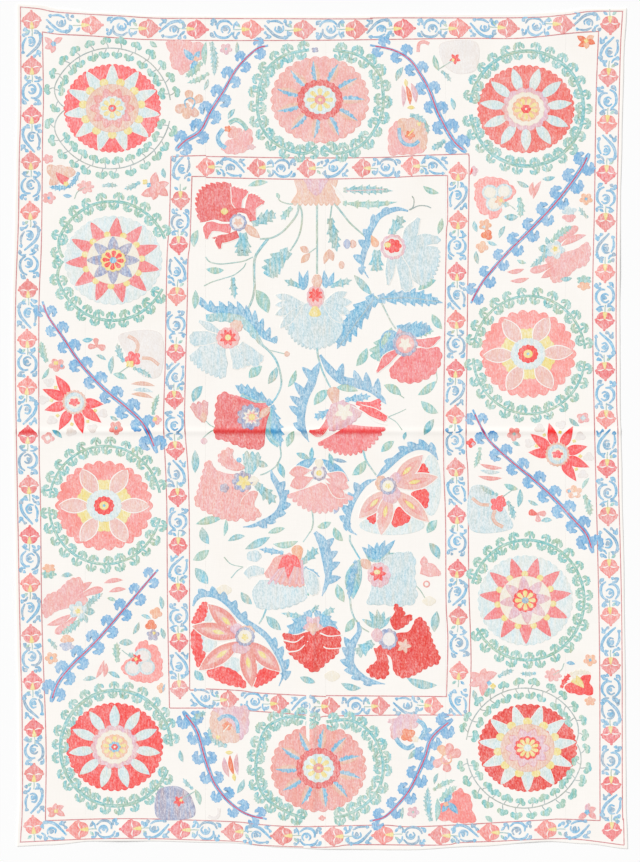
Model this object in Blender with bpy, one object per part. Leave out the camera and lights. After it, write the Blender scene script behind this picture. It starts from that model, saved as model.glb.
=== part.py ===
"""A suzani laid flat: six hand-loomed cotton strips sewn side by side, worked all over in silk.

Lengths are in metres. +X is the cloth's right, +Y its top and +Z up. The underside lies on z = 0,
lifted only where old storage creases and slack edges rise, and the cloth is centred on x = y = 0.
"""

import bmesh
import bpy
import numpy as np

# Driving sizes of the whole cloth.
CLOTH_WIDTH = 1.733
CLOTH_LENGTH = 2.381
CLOTH_THICKNESS = 0.0016

# The loom's width sets where the strips meet. The two outer strips are one width split in two.
LOOM_WIDTH = 0.338
MIDDLE_SEAM_X = 0.0165
SEAM_GAP = 0.0003

# Spacing of the mesh's lines: coarse where the cloth is flat, close over a crease.
ROW_STEP = 0.045
COLUMN_STEP = 0.042
CREASE_LINES = (-0.026, -0.014, -0.007, 0.0, 0.007, 0.014, 0.026)

# Cross fold: a soft ridge over the whole width, as high as the table says.
CROSS_CREASE_Y = -0.0125
CROSS_CREASE_HALF_WIDTH = 0.009
CROSS_CREASE_TABLE = (
    # x, height
    (-0.87, 0.0012),
    (-0.62, 0.0030),
    (-0.33, 0.0022),
    (-0.05, 0.0032),
    (0.25, 0.0020),
    (0.55, 0.0029),
    (0.87, 0.0014),
)

# Lengthwise fold: a finer ridge left of the middle seam, which fades out towards the middle.
LONG_CREASE_X = -0.0190
LONG_CREASE_HALF_WIDTH = 0.008
LONG_CREASE_TABLE = (
    # y, height
    (-1.20, 0.0010),
    (-0.90, 0.0021),
    (-0.62, 0.0016),
    (-0.35, 0.0006),
    (-0.10, 0.0),
    (1.20, 0.0),
)

# How far each edge lies inside the cloth's box, which is where its wavy outline comes from.
TOP_EDGE_TABLE = (
    # x, inset
    (-0.87, 0.000),
    (-0.80, 0.002),
    (-0.74, 0.014),
    (-0.63, 0.023),
    (-0.47, 0.032),
    (-0.23, 0.034),
    (0.10, 0.034),
    (0.38, 0.030),
    (0.55, 0.029),
    (0.68, 0.022),
    (0.75, 0.013),
    (0.87, 0.012),
)
BOTTOM_EDGE_TABLE = (
    # x, inset
    (-0.87, 0.010),
    (-0.77, 0.014),
    (-0.63, 0.025),
    (-0.49, 0.025),
    (-0.26, 0.020),
    (-0.09, 0.006),
    (0.02, 0.002),
    (0.25, 0.000),
    (0.44, 0.010),
    (0.64, 0.024),
    (0.75, 0.017),
    (0.87, 0.003),
)
LEFT_EDGE_TABLE = (
    # y, inset
    (-1.19, 0.014),
    (-1.05, 0.020),
    (-0.77, 0.018),
    (-0.60, 0.013),
    (-0.37, 0.009),
    (-0.04, 0.003),
    (0.13, 0.000),
    (0.36, 0.001),
    (0.50, 0.005),
    (0.75, 0.011),
    (0.92, 0.015),
    (1.19, 0.014),
)
RIGHT_EDGE_TABLE = (
    # y, inset
    (-1.19, 0.000),
    (-1.05, 0.004),
    (-0.77, 0.006),
    (-0.43, 0.010),
    (-0.15, 0.016),
    (0.08, 0.021),
    (0.36, 0.022),
    (0.64, 0.020),
    (0.81, 0.016),
    (1.03, 0.011),
    (1.19, 0.003),
)
EDGE_BLEND = 0.240

# Slack at the edges: low soft swells where the cloth doesn't lie quite flat.
SWELL_TABLE = (
    # x, y, height, radius along x, radius along y
    (-0.80, 0.16, 0.0022, 0.060, 0.150),
    (-0.82, -0.47, 0.0026, 0.070, 0.110),
    (-0.56, -1.15, 0.0030, 0.100, 0.060),
    (0.06, -1.16, 0.0024, 0.120, 0.055),
    (0.60, -1.14, 0.0028, 0.090, 0.060),
    (0.82, 0.45, 0.0024, 0.060, 0.140),
    (0.81, -0.70, 0.0020, 0.060, 0.120),
    (0.68, 1.12, 0.0026, 0.090, 0.060),
    (-0.68, 1.11, 0.0028, 0.090, 0.060),
    (-0.12, 1.13, 0.0018, 0.140, 0.050),
)

# Undyed cotton, a little different from strip to strip.
STRIP_COLOURS = {
    "panel_1": (0.925, 0.890, 0.835, 1.0),
    "panel_2": (0.935, 0.905, 0.850, 1.0),
    "panel_3": (0.930, 0.895, 0.845, 1.0),
    "panel_4": (0.940, 0.905, 0.855, 1.0),
    "panel_5": (0.930, 0.900, 0.840, 1.0),
    "panel_6": (0.920, 0.885, 0.830, 1.0),
}
COTTON_ROUGHNESS = 0.92


def clear_scene():
    for thing in list(bpy.data.objects):
        bpy.data.objects.remove(thing, do_unlink=True)


def smooth_table(table, where):
    """Reads a table of (place, value) with an eased curve from each row to the next."""
    places, values = (np.array(column) for column in zip(*table))
    where = np.clip(where, places[0], places[-1])
    row = np.clip(np.searchsorted(places, where) - 1, 0, len(places) - 2)
    share = (where - places[row]) / (places[row + 1] - places[row])
    eased = share * share * (3.0 - 2.0 * share)
    return values[row] + (values[row + 1] - values[row]) * eased


def lift(x, y):
    """Height of the underside: two ridges, each a bell across its crease, and the edge swells."""
    cross = smooth_table(CROSS_CREASE_TABLE, x)
    height = cross * np.exp(-(((y - CROSS_CREASE_Y) / CROSS_CREASE_HALF_WIDTH) ** 2))
    along = smooth_table(LONG_CREASE_TABLE, y)
    height += along * np.exp(-(((x - LONG_CREASE_X) / LONG_CREASE_HALF_WIDTH) ** 2))
    for swell_x, swell_y, swell_height, radius_x, radius_y in SWELL_TABLE:
        away = ((x - swell_x) / radius_x) ** 2 + ((y - swell_y) / radius_y) ** 2
        height += swell_height * np.clip(1.0 - away, 0.0, None) ** 2
    return height


def lines_between(low, high, step, crease):
    """Even lines from low to high, with close ones over the crease in place of those near it."""
    even = np.linspace(low, high, max(1, round((high - low) / step)) + 1)
    close = crease + np.array(CREASE_LINES)
    if close[0] <= low or close[-1] >= high:
        return even
    clear = step / 2
    apart = (even < close[0] - clear) | (even > close[-1] + clear)
    apart[[0, -1]] = True
    return np.sort(np.concatenate([even[apart], close]))


def plan_points(left_x, right_x):
    """Rows and columns of plan points of one strip, with the outer edges drawn in by their tables."""
    half_width, half_length = CLOTH_WIDTH / 2, CLOTH_LENGTH / 2
    columns = lines_between(left_x, right_x, COLUMN_STEP, LONG_CREASE_X)
    rows = lines_between(-half_length, half_length, ROW_STEP, CROSS_CREASE_Y)
    x, y = np.meshgrid(columns, rows)
    to_left = np.clip((x + half_width - EDGE_BLEND) / -EDGE_BLEND, 0.0, 1.0)
    to_right = np.clip((x - half_width + EDGE_BLEND) / EDGE_BLEND, 0.0, 1.0)
    to_bottom = np.clip((y + half_length - EDGE_BLEND) / -EDGE_BLEND, 0.0, 1.0)
    to_top = np.clip((y - half_length + EDGE_BLEND) / EDGE_BLEND, 0.0, 1.0)
    drawn_x = smooth_table(LEFT_EDGE_TABLE, y) * to_left - smooth_table(RIGHT_EDGE_TABLE, y) * to_right
    drawn_y = smooth_table(BOTTOM_EDGE_TABLE, x) * to_bottom - smooth_table(TOP_EDGE_TABLE, x) * to_top
    inner_edge = (x == columns[0]) & (left_x > -half_width) | (x == columns[-1]) & (right_x < half_width)
    return np.where(inner_edge, x, x + drawn_x), y + drawn_y


def cotton(name):
    material = bpy.data.materials.new(name + "_cotton")
    material.use_nodes = True
    shader = material.node_tree.nodes["Principled BSDF"]
    shader.inputs["Base Color"].default_value = STRIP_COLOURS[name]
    shader.inputs["Roughness"].default_value = COTTON_ROUGHNESS
    shader.inputs["Metallic"].default_value = 0.0
    return material


def strip(name, left_x, right_x):
    """One loom strip: a grid laid out as its underside, extruded up by the cloth's thickness."""
    x, y = plan_points(left_x, right_x)
    last_row, last_column = x.shape[0] - 1, x.shape[1] - 1
    z = lift(x, y)
    work = bmesh.new()
    bmesh.ops.create_grid(work, x_segments=last_column, y_segments=last_row, size=1.0)
    for vert in work.verts:
        column = round((vert.co.x + 1.0) / 2.0 * last_column)
        row = round((vert.co.y + 1.0) / 2.0 * last_row)
        vert.co = (x[row, column], y[row, column], z[row, column])
    made = bmesh.ops.extrude_face_region(work, geom=work.faces[:], use_keep_orig=True)
    raised = [piece for piece in made["geom"] if isinstance(piece, bmesh.types.BMVert)]
    bmesh.ops.translate(work, verts=raised, vec=(0.0, 0.0, CLOTH_THICKNESS))
    bmesh.ops.recalc_face_normals(work, faces=work.faces[:])
    mesh = bpy.data.meshes.new(name)
    work.to_mesh(mesh)
    work.free()
    mesh.shade_smooth()
    mesh.set_sharp_from_angle(angle=np.radians(40))
    mesh.materials.append(cotton(name))
    panel = bpy.data.objects.new(name, mesh)
    bpy.context.scene.collection.objects.link(panel)
    return panel


def make_cloth():
    """Six strips from left to right, parted at their seams by the seam gap."""
    seams = [MIDDLE_SEAM_X + LOOM_WIDTH * count for count in (-2, -1, 0, 1, 2)]
    starts = [-CLOTH_WIDTH / 2] + [seam + SEAM_GAP / 2 for seam in seams]
    ends = [seam - SEAM_GAP / 2 for seam in seams] + [CLOTH_WIDTH / 2]
    for name, left_x, right_x in zip(STRIP_COLOURS, starts, ends):
        strip(name, left_x, right_x)


clear_scene()
make_cloth()
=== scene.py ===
# %% [markdown]
# # A suzani laid flat
# A suzani is a large embroidered cloth. Six narrow hand-loomed strips of cotton are sewn side by side,
# and silk is laid over them in close threads, each held down by small slanting stitches. This lesson
# rebuilds one in steps: the frame, the cotton, the ways of stitching, the pattern, and the materials.

# %% Load the frame
import math

import bpy
import numpy as np
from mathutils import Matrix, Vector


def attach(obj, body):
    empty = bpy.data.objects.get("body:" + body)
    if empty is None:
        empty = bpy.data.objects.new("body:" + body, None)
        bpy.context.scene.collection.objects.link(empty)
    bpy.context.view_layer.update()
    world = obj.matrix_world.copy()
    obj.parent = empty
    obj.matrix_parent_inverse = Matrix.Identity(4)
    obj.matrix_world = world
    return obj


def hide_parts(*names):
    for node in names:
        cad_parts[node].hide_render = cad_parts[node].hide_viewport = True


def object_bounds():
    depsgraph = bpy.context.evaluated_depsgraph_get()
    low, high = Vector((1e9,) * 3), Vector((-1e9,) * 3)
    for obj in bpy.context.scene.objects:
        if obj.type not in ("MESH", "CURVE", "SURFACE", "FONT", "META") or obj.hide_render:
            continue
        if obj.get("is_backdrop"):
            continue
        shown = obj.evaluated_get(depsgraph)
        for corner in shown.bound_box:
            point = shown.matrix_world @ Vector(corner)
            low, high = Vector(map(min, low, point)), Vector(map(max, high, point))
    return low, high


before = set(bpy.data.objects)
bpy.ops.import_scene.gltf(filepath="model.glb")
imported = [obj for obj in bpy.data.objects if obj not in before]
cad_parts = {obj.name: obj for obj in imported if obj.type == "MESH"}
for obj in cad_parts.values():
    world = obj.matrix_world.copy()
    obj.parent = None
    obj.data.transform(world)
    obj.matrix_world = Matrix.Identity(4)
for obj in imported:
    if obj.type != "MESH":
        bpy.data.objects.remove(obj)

CAD_LOW, CAD_HIGH = (np.array(corner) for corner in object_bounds())
print("the packed cloth is", np.round(CAD_HIGH - CAD_LOW, 4), "m")

# %% [markdown]
# ## Where things are
# The pattern is laid out in the photograph's own pixels, because that is how it was measured: x runs
# right and y runs down from the picture's corner. One pixel is 2.815 mm of cloth. A pattern point is kept
# as one complex number with y turned up, so that turning a motif is one multiplication.

# %% Pattern units
PIXEL = 0.002815
CLOTH_LEFT_PX, CLOTH_TOP_PX = 12.0, 4.0
SEED = 7


def spot(x, y):
    """The pattern point of a photograph pixel."""
    return complex(x, -y)


def spots(pairs):
    """Pattern points of several pixels, given as (x, y) pairs."""
    return np.array([spot(x, y) for x, y in pairs])


def across_cloth(points):
    """Metres to the right of the cloth's middle."""
    return CAD_LOW[0] + (np.real(points) - CLOTH_LEFT_PX) * PIXEL


def along_cloth(points):
    """Metres up from the cloth's middle."""
    return CAD_HIGH[1] + (np.imag(points) + CLOTH_TOP_PX) * PIXEL


def smooth_table(table, where):
    """Reads (place, value) rows with an eased curve, 3 t^2 - 2 t^3, from each row to the next."""
    places, values = (np.array(column) for column in zip(*table))
    where = np.clip(where, places[0], places[-1])
    row = np.clip(np.searchsorted(places, where) - 1, 0, len(places) - 2)
    share = (where - places[row]) / (places[row + 1] - places[row])
    return values[row] + (values[row + 1] - values[row]) * share * share * (3.0 - 2.0 * share)


# %% [markdown]
# ## The cotton ground
# The strips lie flat, apart from the ridges of two old storage folds and a few slack places at the edges.
# The same few tables shape the solids of the frame, so the finer sheets made here lie right on them.
# Heights are one formula of x and y, and every stitch asks it how high the cloth is below it.

# %% The cloth's form in metres
COTTON_THICKNESS = 0.0016
LOOM_WIDTH = 0.338
MIDDLE_SEAM_X = 0.0165
SEAM_GAP = 0.00004
CROSS_CREASE_Y, CROSS_CREASE_HALF_WIDTH = -0.0125, 0.009
CROSS_CREASE = (  # x, height
    (-0.87, 0.0012), (-0.62, 0.0030), (-0.33, 0.0022), (-0.05, 0.0032), (0.25, 0.0020),
    (0.55, 0.0029), (0.87, 0.0014),
)
LONG_CREASE_X, LONG_CREASE_HALF_WIDTH = -0.0190, 0.008
LONG_CREASE = (  # y, height
    (-1.20, 0.0010), (-0.90, 0.0021), (-0.62, 0.0016), (-0.35, 0.0006), (-0.10, 0.0), (1.20, 0.0),
)
TOP_EDGE = (  # x, inset from the cloth's box
    (-0.87, 0.000), (-0.80, 0.002), (-0.74, 0.014), (-0.63, 0.023), (-0.47, 0.032), (-0.23, 0.034),
    (0.10, 0.034), (0.38, 0.030), (0.55, 0.029), (0.68, 0.022), (0.75, 0.013), (0.87, 0.012),
)
BOTTOM_EDGE = (  # x, inset
    (-0.87, 0.010), (-0.77, 0.014), (-0.63, 0.025), (-0.49, 0.025), (-0.26, 0.020), (-0.09, 0.006),
    (0.02, 0.002), (0.25, 0.000), (0.44, 0.010), (0.64, 0.024), (0.75, 0.017), (0.87, 0.003),
)
LEFT_EDGE = (  # y, inset
    (-1.19, 0.014), (-1.05, 0.020), (-0.77, 0.018), (-0.60, 0.013), (-0.37, 0.009), (-0.04, 0.003),
    (0.13, 0.000), (0.36, 0.001), (0.50, 0.005), (0.75, 0.011), (0.92, 0.015), (1.19, 0.014),
)
RIGHT_EDGE = (  # y, inset
    (-1.19, 0.000), (-1.05, 0.004), (-0.77, 0.006), (-0.43, 0.010), (-0.15, 0.016), (0.08, 0.021),
    (0.36, 0.022), (0.64, 0.020), (0.81, 0.016), (1.03, 0.011), (1.19, 0.003),
)
EDGE_BLEND = 0.240
SWELLS = (  # x, y, height, radius along x, radius along y
    (-0.80, 0.16, 0.0022, 0.060, 0.150), (-0.82, -0.47, 0.0026, 0.070, 0.110),
    (-0.56, -1.15, 0.0030, 0.100, 0.060), (0.06, -1.16, 0.0024, 0.120, 0.055),
    (0.60, -1.14, 0.0028, 0.090, 0.060), (0.82, 0.45, 0.0024, 0.060, 0.140),
    (0.81, -0.70, 0.0020, 0.060, 0.120), (0.68, 1.12, 0.0026, 0.090, 0.060),
    (-0.68, 1.11, 0.0028, 0.090, 0.060), (-0.12, 1.13, 0.0018, 0.140, 0.050),
)


def lift(x, y):
    """Height of the underside: a bell across each fold, times its table, plus a flat-topped dome for
    each swell."""
    height = smooth_table(CROSS_CREASE, x) * np.exp(-(((y - CROSS_CREASE_Y) / CROSS_CREASE_HALF_WIDTH) ** 2))
    height += smooth_table(LONG_CREASE, y) * np.exp(-(((x - LONG_CREASE_X) / LONG_CREASE_HALF_WIDTH) ** 2))
    for swell_x, swell_y, swell_height, radius_x, radius_y in SWELLS:
        away = ((x - swell_x) / radius_x) ** 2 + ((y - swell_y) / radius_y) ** 2
        height += swell_height * np.clip(1.0 - away, 0.0, None) ** 2
    return height


PUCKER = 0.00016


def pucker(x, y):
    """Fine unevenness of close-worked cotton: three slow waves multiplied, in metres."""
    waves = np.sin(x * 71.0 + 2.1 * np.sin(y * 17.0)) * np.sin(y * 53.0 + 1.7 * np.sin(x * 23.0))
    return PUCKER * (waves + 0.6 * np.sin(x * 31.0 - y * 44.0))


def cloth_top(x, y):
    return lift(x, y) + COTTON_THICKNESS + pucker(x, y)


# %% [markdown]
# ## Sheets from grids
# Each strip is a grid of lines across and along it. The lines are close where something happens, which is
# at its edges, seams and folds. The upper and lower grids are joined round the rim, so a strip is closed.

# %% Mesh helpers
def mesh_object(name, points, faces):
    """A mesh from an (n, 3) array of points and an (m, k) array of faces with k corners each."""
    mesh = bpy.data.meshes.new(name)
    count, corners = faces.shape
    mesh.vertices.add(len(points))
    mesh.vertices.foreach_set("co", points.astype(np.float32).ravel())
    mesh.loops.add(count * corners)
    mesh.loops.foreach_set("vertex_index", faces.astype(np.int32).ravel())
    mesh.polygons.add(count)
    mesh.polygons.foreach_set("loop_start", np.arange(count, dtype=np.int32) * corners)
    mesh.update(calc_edges=True)
    mesh.shade_smooth()
    made = bpy.data.objects.new(name, mesh)
    bpy.context.scene.collection.objects.link(made)
    return made


def slab(name, x, y, top, bottom):
    """A closed sheet over a grid: upper face, lower face turned over, and a wall round the rim."""
    rows, columns = x.shape
    index = np.arange(rows * columns).reshape(rows, columns)
    upper = np.stack([index[:-1, :-1], index[:-1, 1:], index[1:, 1:], index[1:, :-1]], axis=-1).reshape(-1, 4)
    lower = upper[:, ::-1] + rows * columns
    rim = np.concatenate([index[0, :-1], index[:-1, -1], index[-1, :0:-1], index[:0:-1, 0]])
    after = np.roll(rim, -1)
    wall = np.stack([rim + rows * columns, after + rows * columns, after, rim], axis=-1)
    points = np.concatenate([np.stack([x, y, z], axis=-1).reshape(-1, 3) for z in (top, bottom)])
    return mesh_object(name, points, np.concatenate([upper, lower, wall]))


EDGE_LINES = np.array((0.0, 0.0005, 0.0014, 0.0034, 0.0070, 0.0095))
CREASE_LINES = np.linspace(-0.026, 0.026, 21)
SHEET_STEP = 0.021


def sheet_lines(low, high, crease):
    """Even lines from low to high, with close ones at both ends and over the crease if it is there."""
    inner = np.linspace(low, high, round((high - low) / SHEET_STEP) + 1)
    close = crease + CREASE_LINES
    if close[0] > low + EDGE_LINES[-1] and close[-1] < high - EDGE_LINES[-1]:
        inner = np.concatenate([inner[(inner < close[0]) | (inner > close[-1])], close])
    inner = inner[(inner > low + 1.3 * EDGE_LINES[-1]) & (inner < high - 1.3 * EDGE_LINES[-1])]
    return np.sort(np.concatenate([low + EDGE_LINES, inner, high - EDGE_LINES]))


# %% The six strips
HEM_WIDTH, HEM_RISE, EDGE_ROUND, SEAM_ROUND = 0.0085, 0.0004, 0.0006, 0.00005
HALF_WIDTH, HALF_LENGTH = (CAD_HIGH[:2] - CAD_LOW[:2]) / 2
SEAMS = [MIDDLE_SEAM_X + LOOM_WIDTH * count for count in (-2, -1, 0, 1, 2)]


def draw_in(x, y, left_x, right_x):
    """Moves grid points so that the outer rows and columns follow the wavy edges of the cloth."""
    to_left = np.clip((EDGE_BLEND - HALF_WIDTH - x) / EDGE_BLEND, 0.0, 1.0)
    to_right = np.clip((EDGE_BLEND - HALF_WIDTH + x) / EDGE_BLEND, 0.0, 1.0)
    to_bottom = np.clip((EDGE_BLEND - HALF_LENGTH - y) / EDGE_BLEND, 0.0, 1.0)
    to_top = np.clip((EDGE_BLEND - HALF_LENGTH + y) / EDGE_BLEND, 0.0, 1.0)
    shift_x = smooth_table(LEFT_EDGE, y) * to_left - smooth_table(RIGHT_EDGE, y) * to_right
    shift_y = smooth_table(BOTTOM_EDGE, x) * to_bottom - smooth_table(TOP_EDGE, x) * to_top
    hold = np.ones_like(x)
    if left_x > -HALF_WIDTH:
        hold *= np.clip((x - left_x) / 0.04, 0.0, 1.0)
    if right_x < HALF_WIDTH:
        hold *= np.clip((right_x - x) / 0.04, 0.0, 1.0)
    return x + shift_x * hold, y + shift_y


def cotton_strip(number, left_x, right_x):
    """One strip: lift plus thickness, rounded down at its rim and a little thicker in the hem."""
    grid_x, grid_y = np.meshgrid(sheet_lines(left_x, right_x, LONG_CREASE_X),
                                 sheet_lines(-HALF_LENGTH, HALF_LENGTH, CROSS_CREASE_Y))
    x, y = draw_in(grid_x, grid_y, left_x, right_x)
    to_hem = np.minimum.reduce([grid_x + HALF_WIDTH, HALF_WIDTH - grid_x,
                                grid_y + HALF_LENGTH, HALF_LENGTH - grid_y])
    to_seam = np.minimum(grid_x - left_x, right_x - grid_x)
    rounding = EDGE_ROUND * np.exp(-to_hem / EDGE_ROUND) + SEAM_ROUND * np.exp(-to_seam / EDGE_ROUND)
    hem = HEM_RISE * np.clip((HEM_WIDTH - to_hem) / 0.002, 0.0, 1.0)
    strip = slab(f"cotton_strip_{number}", x, y, cloth_top(x, y) - rounding + hem, lift(x, y))
    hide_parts(f"panel_{number}")
    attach(strip, "root")
    return strip


starts = [-HALF_WIDTH] + [seam + SEAM_GAP / 2 for seam in SEAMS]
ends = [seam - SEAM_GAP / 2 for seam in SEAMS] + [HALF_WIDTH]
strips = [cotton_strip(count + 1, left, right) for count, (left, right) in enumerate(zip(starts, ends))]
print("six strips,", sum(len(strip.data.polygons) for strip in strips), "faces")

# %% [markdown]
# ## Ways of stitching
# Two moves make the whole pattern. A patch fills an outline: its rim is sunk a hair into the cloth, and a
# shoulder just inside rises to a level top, as laid silk does. A ribbon runs along a line with its own
# width at each point: stems, outlines, leaves and scrolls. Both are closed pads, a fraction of a millimetre
# high, and a later layer lies on an earlier one. Pads of one thread are joined into one mesh.

# %% Threads and layers
SINK = 0.00025
THREAD_HEIGHT = 0.00042
LAYER_HEIGHT = 0.00013
SHOULDER_PX, OUTLINE_PX = 0.22, 1.2
TONE_SPREAD = 1.0
rng = np.random.default_rng(SEED)


class Thread:
    """Everything stitched in one dye, waiting to be joined."""

    def __init__(self):
        self.count = 0
        self.parts = {"plan": [], "height": [], "faces": [], "lines": [], "tone": [], "rim": []}

    def add(self, plan, height, faces, lines, tone, rim):
        """One pad: plan points and heights, faces, the map of its threads, its tone, 1 at its rim."""
        tone = rng.uniform(-TONE_SPREAD, TONE_SPREAD) if tone is None else tone
        lines = plan if lines is None else lines
        rows = (plan, height, faces + self.count, lines * PIXEL, np.full(len(plan), tone), rim)
        for part, row in zip(self.parts.values(), rows):
            part.append(row)
        self.count += len(plan)


threads = {}


def thread(dye):
    return threads.setdefault(dye, Thread())


def top_of(layer):
    return THREAD_HEIGHT + layer * LAYER_HEIGHT


# %% Patches and ribbons
COARSE_PX, FINE_PX = 6.0, 1.3
CREASE_ROW = (CROSS_CREASE_Y - CAD_HIGH[1]) / PIXEL - CLOTH_TOP_PX
CREASE_COLUMN = (LONG_CREASE_X - CAD_LOW[0]) / PIXEL + CLOTH_LEFT_PX
CREASE_REACH, LONG_CREASE_START = 9.0, -560.0


def on_fold(points, reach=0.0):
    """Which of these pattern points lie on a fold's ridge or within reach of it."""
    over_cross = np.abs(np.imag(points) - CREASE_ROW) < reach + CREASE_REACH
    over_long = np.abs(np.real(points) - CREASE_COLUMN) < reach + CREASE_REACH
    return over_cross | over_long & (np.imag(points) < LONG_CREASE_START)


def along(line):
    """How far along a line each of its points is."""
    return np.concatenate([[0.0], np.cumsum(np.abs(np.diff(line)))])


def at_runs(line, where):
    run = along(line)
    return np.interp(where, run, line.real) + 1j * np.interp(where, run, line.imag)


def heading_at(line, where, step=2.0):
    """The point of a line at a run, and the way it heads there."""
    root, ahead = at_runs(line, np.array((where, where + step)))
    return root, (ahead - root) / max(abs(ahead - root), 1e-6)


def close_on_folds(line):
    """Runs along a line: its own points, and close ones where it crosses a fold."""
    run = along(line)
    close = np.arange(FINE_PX, run[-1] - 0.5 * FINE_PX, FINE_PX)
    close = close[on_fold(at_runs(line, close))] if len(close) else close
    kept = run[1:-1][~on_fold(line[1:-1])] if len(close) else run[1:-1]
    return np.concatenate([[0.0], np.sort(np.concatenate([kept, close])), run[-1:]])


def turned_left(outline):
    """The outline in anticlockwise order, which makes its faces look up."""
    area = np.sum(outline.real * np.roll(outline.imag, -1) - outline.imag * np.roll(outline.real, -1))
    return outline if area > 0 else outline[::-1]


def patch(dye, outline, layer=0, centre=None, tone=None):
    """Fills an outline: rings at shares 1 to 0 of the way from its centre, low at 1 and level inside."""
    outline = turned_left(np.asarray(outline))
    centre = outline.mean() if centre is None else centre
    reach = np.abs(outline - centre).max()
    step = COARSE_PX
    if np.any(on_fold(centre, reach)):
        step = FINE_PX
        loop = np.append(outline, outline[0])
        outline = at_runs(loop, close_on_folds(loop))[:-1]
    spokes, n = outline - centre, len(outline)
    inner_share = max(0.4, 1.0 - OUTLINE_PX / reach)
    count = max(1, math.ceil(reach * inner_share / step))
    shares = np.linspace(inner_share, 0.0, count + 1)[:-1]
    shares = np.concatenate([[1.0, max(0.6, 1.0 - SHOULDER_PX / reach)], shares])
    rings = len(shares)
    plan = np.concatenate([(centre + shares[:, None] * spokes[None, :]).ravel(), [centre, centre]])
    height = np.full(len(plan), top_of(layer))
    height[:n] = height[-1] = -SINK
    rim = np.zeros(len(plan))
    rim[:2 * n] = 1.0
    inner = np.arange(n)
    after = (inner + 1) % n
    bands = (np.arange(rings - 1) * n)[:, None]
    a, b, c, d = (x.ravel() for x in (bands + inner, bands + after, bands + n + after, bands + n + inner))
    last = (rings - 1) * n
    middle = np.full(n, rings * n)
    faces = np.concatenate([
        np.stack([a, b, c], axis=1), np.stack([a, c, d], axis=1),
        np.stack([last + inner, last + after, middle], axis=1), np.stack([after, inner, middle + 1], axis=1),
    ])
    thread(dye).add(plan, height, faces, None, tone, rim)


def pad(dye, plan, height, lines, tone, rim):
    """Closes a grid of plan points, whose outer rows and columns are sunk, with a floor below it."""
    rows, columns = plan.shape
    index = np.arange(rows * columns).reshape(rows, columns)
    upper = np.stack([index[:-1, :-1], index[1:, :-1], index[1:, 1:], index[:-1, 1:]], axis=-1).reshape(-1, 4)
    under = np.stack([index[:-1, -1], index[1:, -1], index[1:, 0], index[:-1, 0]], axis=-1)
    quads = np.concatenate([upper, under])
    step = np.arange(1, columns - 1)
    start = np.stack([index[0, 0] + 0 * step, index[0, step], index[0, step + 1]], axis=-1)
    end = np.stack([index[-1, 0] + 0 * step, index[-1, step + 1], index[-1, step]], axis=-1)
    faces = np.concatenate([quads[:, [0, 1, 2]], quads[:, [0, 2, 3]], start, end])
    thread(dye).add(plan.ravel(), height.ravel(), faces, lines, tone, rim.ravel())


CROSS_SIDES = np.array((-1.0, -1.0, 0.0, 1.0, 1.0))
CROSS_INSETS = np.array((0.0, 1.0, 0.0, 1.0, 0.0))
CROSS_HEIGHTS = np.array((0.0, 0.975, 1.0, 0.975, 0.0))


def ribbon(dye, spine, left, right=None, layer=0, follow=True, tone=None):
    """A band along a spine, left and right wide: a low arch of five points carried along the line.
    With follow its threads run along it, and without they run up the cloth as in a filled patch."""
    spine = np.asarray(spine)
    left = np.broadcast_to(np.asarray(left, float), len(spine))
    right = left if right is None else np.broadcast_to(np.asarray(right, float), len(spine))
    if np.any(on_fold(spine)):
        where, run = close_on_folds(spine), along(spine)
        spine, left, right = at_runs(spine, where), np.interp(where, run, left), np.interp(where, run, right)
    heading = np.gradient(spine)
    normal = 1j * heading / np.maximum(np.abs(heading), 1e-9)
    half = np.where(CROSS_SIDES > 0, left[:, None], right[:, None])
    widths = (half - CROSS_INSETS * np.minimum(SHOULDER_PX, 0.3 * half)) * CROSS_SIDES
    height = np.tile(CROSS_HEIGHTS * (top_of(layer) + SINK) - SINK, (len(spine), 1))
    lines = (widths + 1j * along(spine)[:, None]).ravel() + abs(spine[0]) if follow else None
    rim = np.abs(CROSS_SIDES) + 0 * widths
    pad(dye, spine[:, None] + normal[:, None] * widths, height, lines, tone, rim)


# %% Outlines and curves
def curve(points, n=24, closed=False):
    """A smooth line through a few points: the Catmull-Rom cubic of each point and its neighbours."""
    p = np.asarray(points, complex)
    ends = (p[-1:], p[:2]) if closed else ([2 * p[0] - p[1]], [2 * p[-1] - p[-2]])
    p = np.concatenate([ends[0], p, ends[1]])
    spans = len(p) - 3
    t = np.linspace(0, spans, n, endpoint=not closed)
    i = np.minimum(t.astype(int), spans - 1)
    u = t - i
    a, b, c, d = (p[i + k] for k in range(4))
    return 0.5 * (2 * b + (c - a) * u + (2 * a - 5 * b + 4 * c - d) * u**2 + (3 * b - a - 3 * c + d) * u**3)


def put(shape, at, turn=0.0, size=1.0, flip=False):
    """A motif's own points in their place: mirrored if flip, scaled, turned by degrees and set down."""
    shape = np.conj(shape) * -1 if flip else np.asarray(shape)
    return at + size * np.exp(1j * math.radians(turn)) * shape


def scalloped(lobes, depth, per_lobe=6, start=0.0):
    """A round outline with round lobes and sharp notches: radius 1 - depth + depth |cos(lobes a / 2)|."""
    angle = np.linspace(0, 2 * np.pi, lobes * per_lobe, endpoint=False)
    radius = 1.0 - depth + depth * np.abs(np.cos(lobes * angle / 2))
    return radius * np.exp(1j * (angle + math.radians(start)))


def rounded(lobes, depth, per_lobe, n, start=0.0):
    """A scalloped outline, or a plain round one of n points if it has no lobes."""
    return scalloped(lobes, depth, per_lobe, start) if lobes else scalloped(n, 0, 1)


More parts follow.
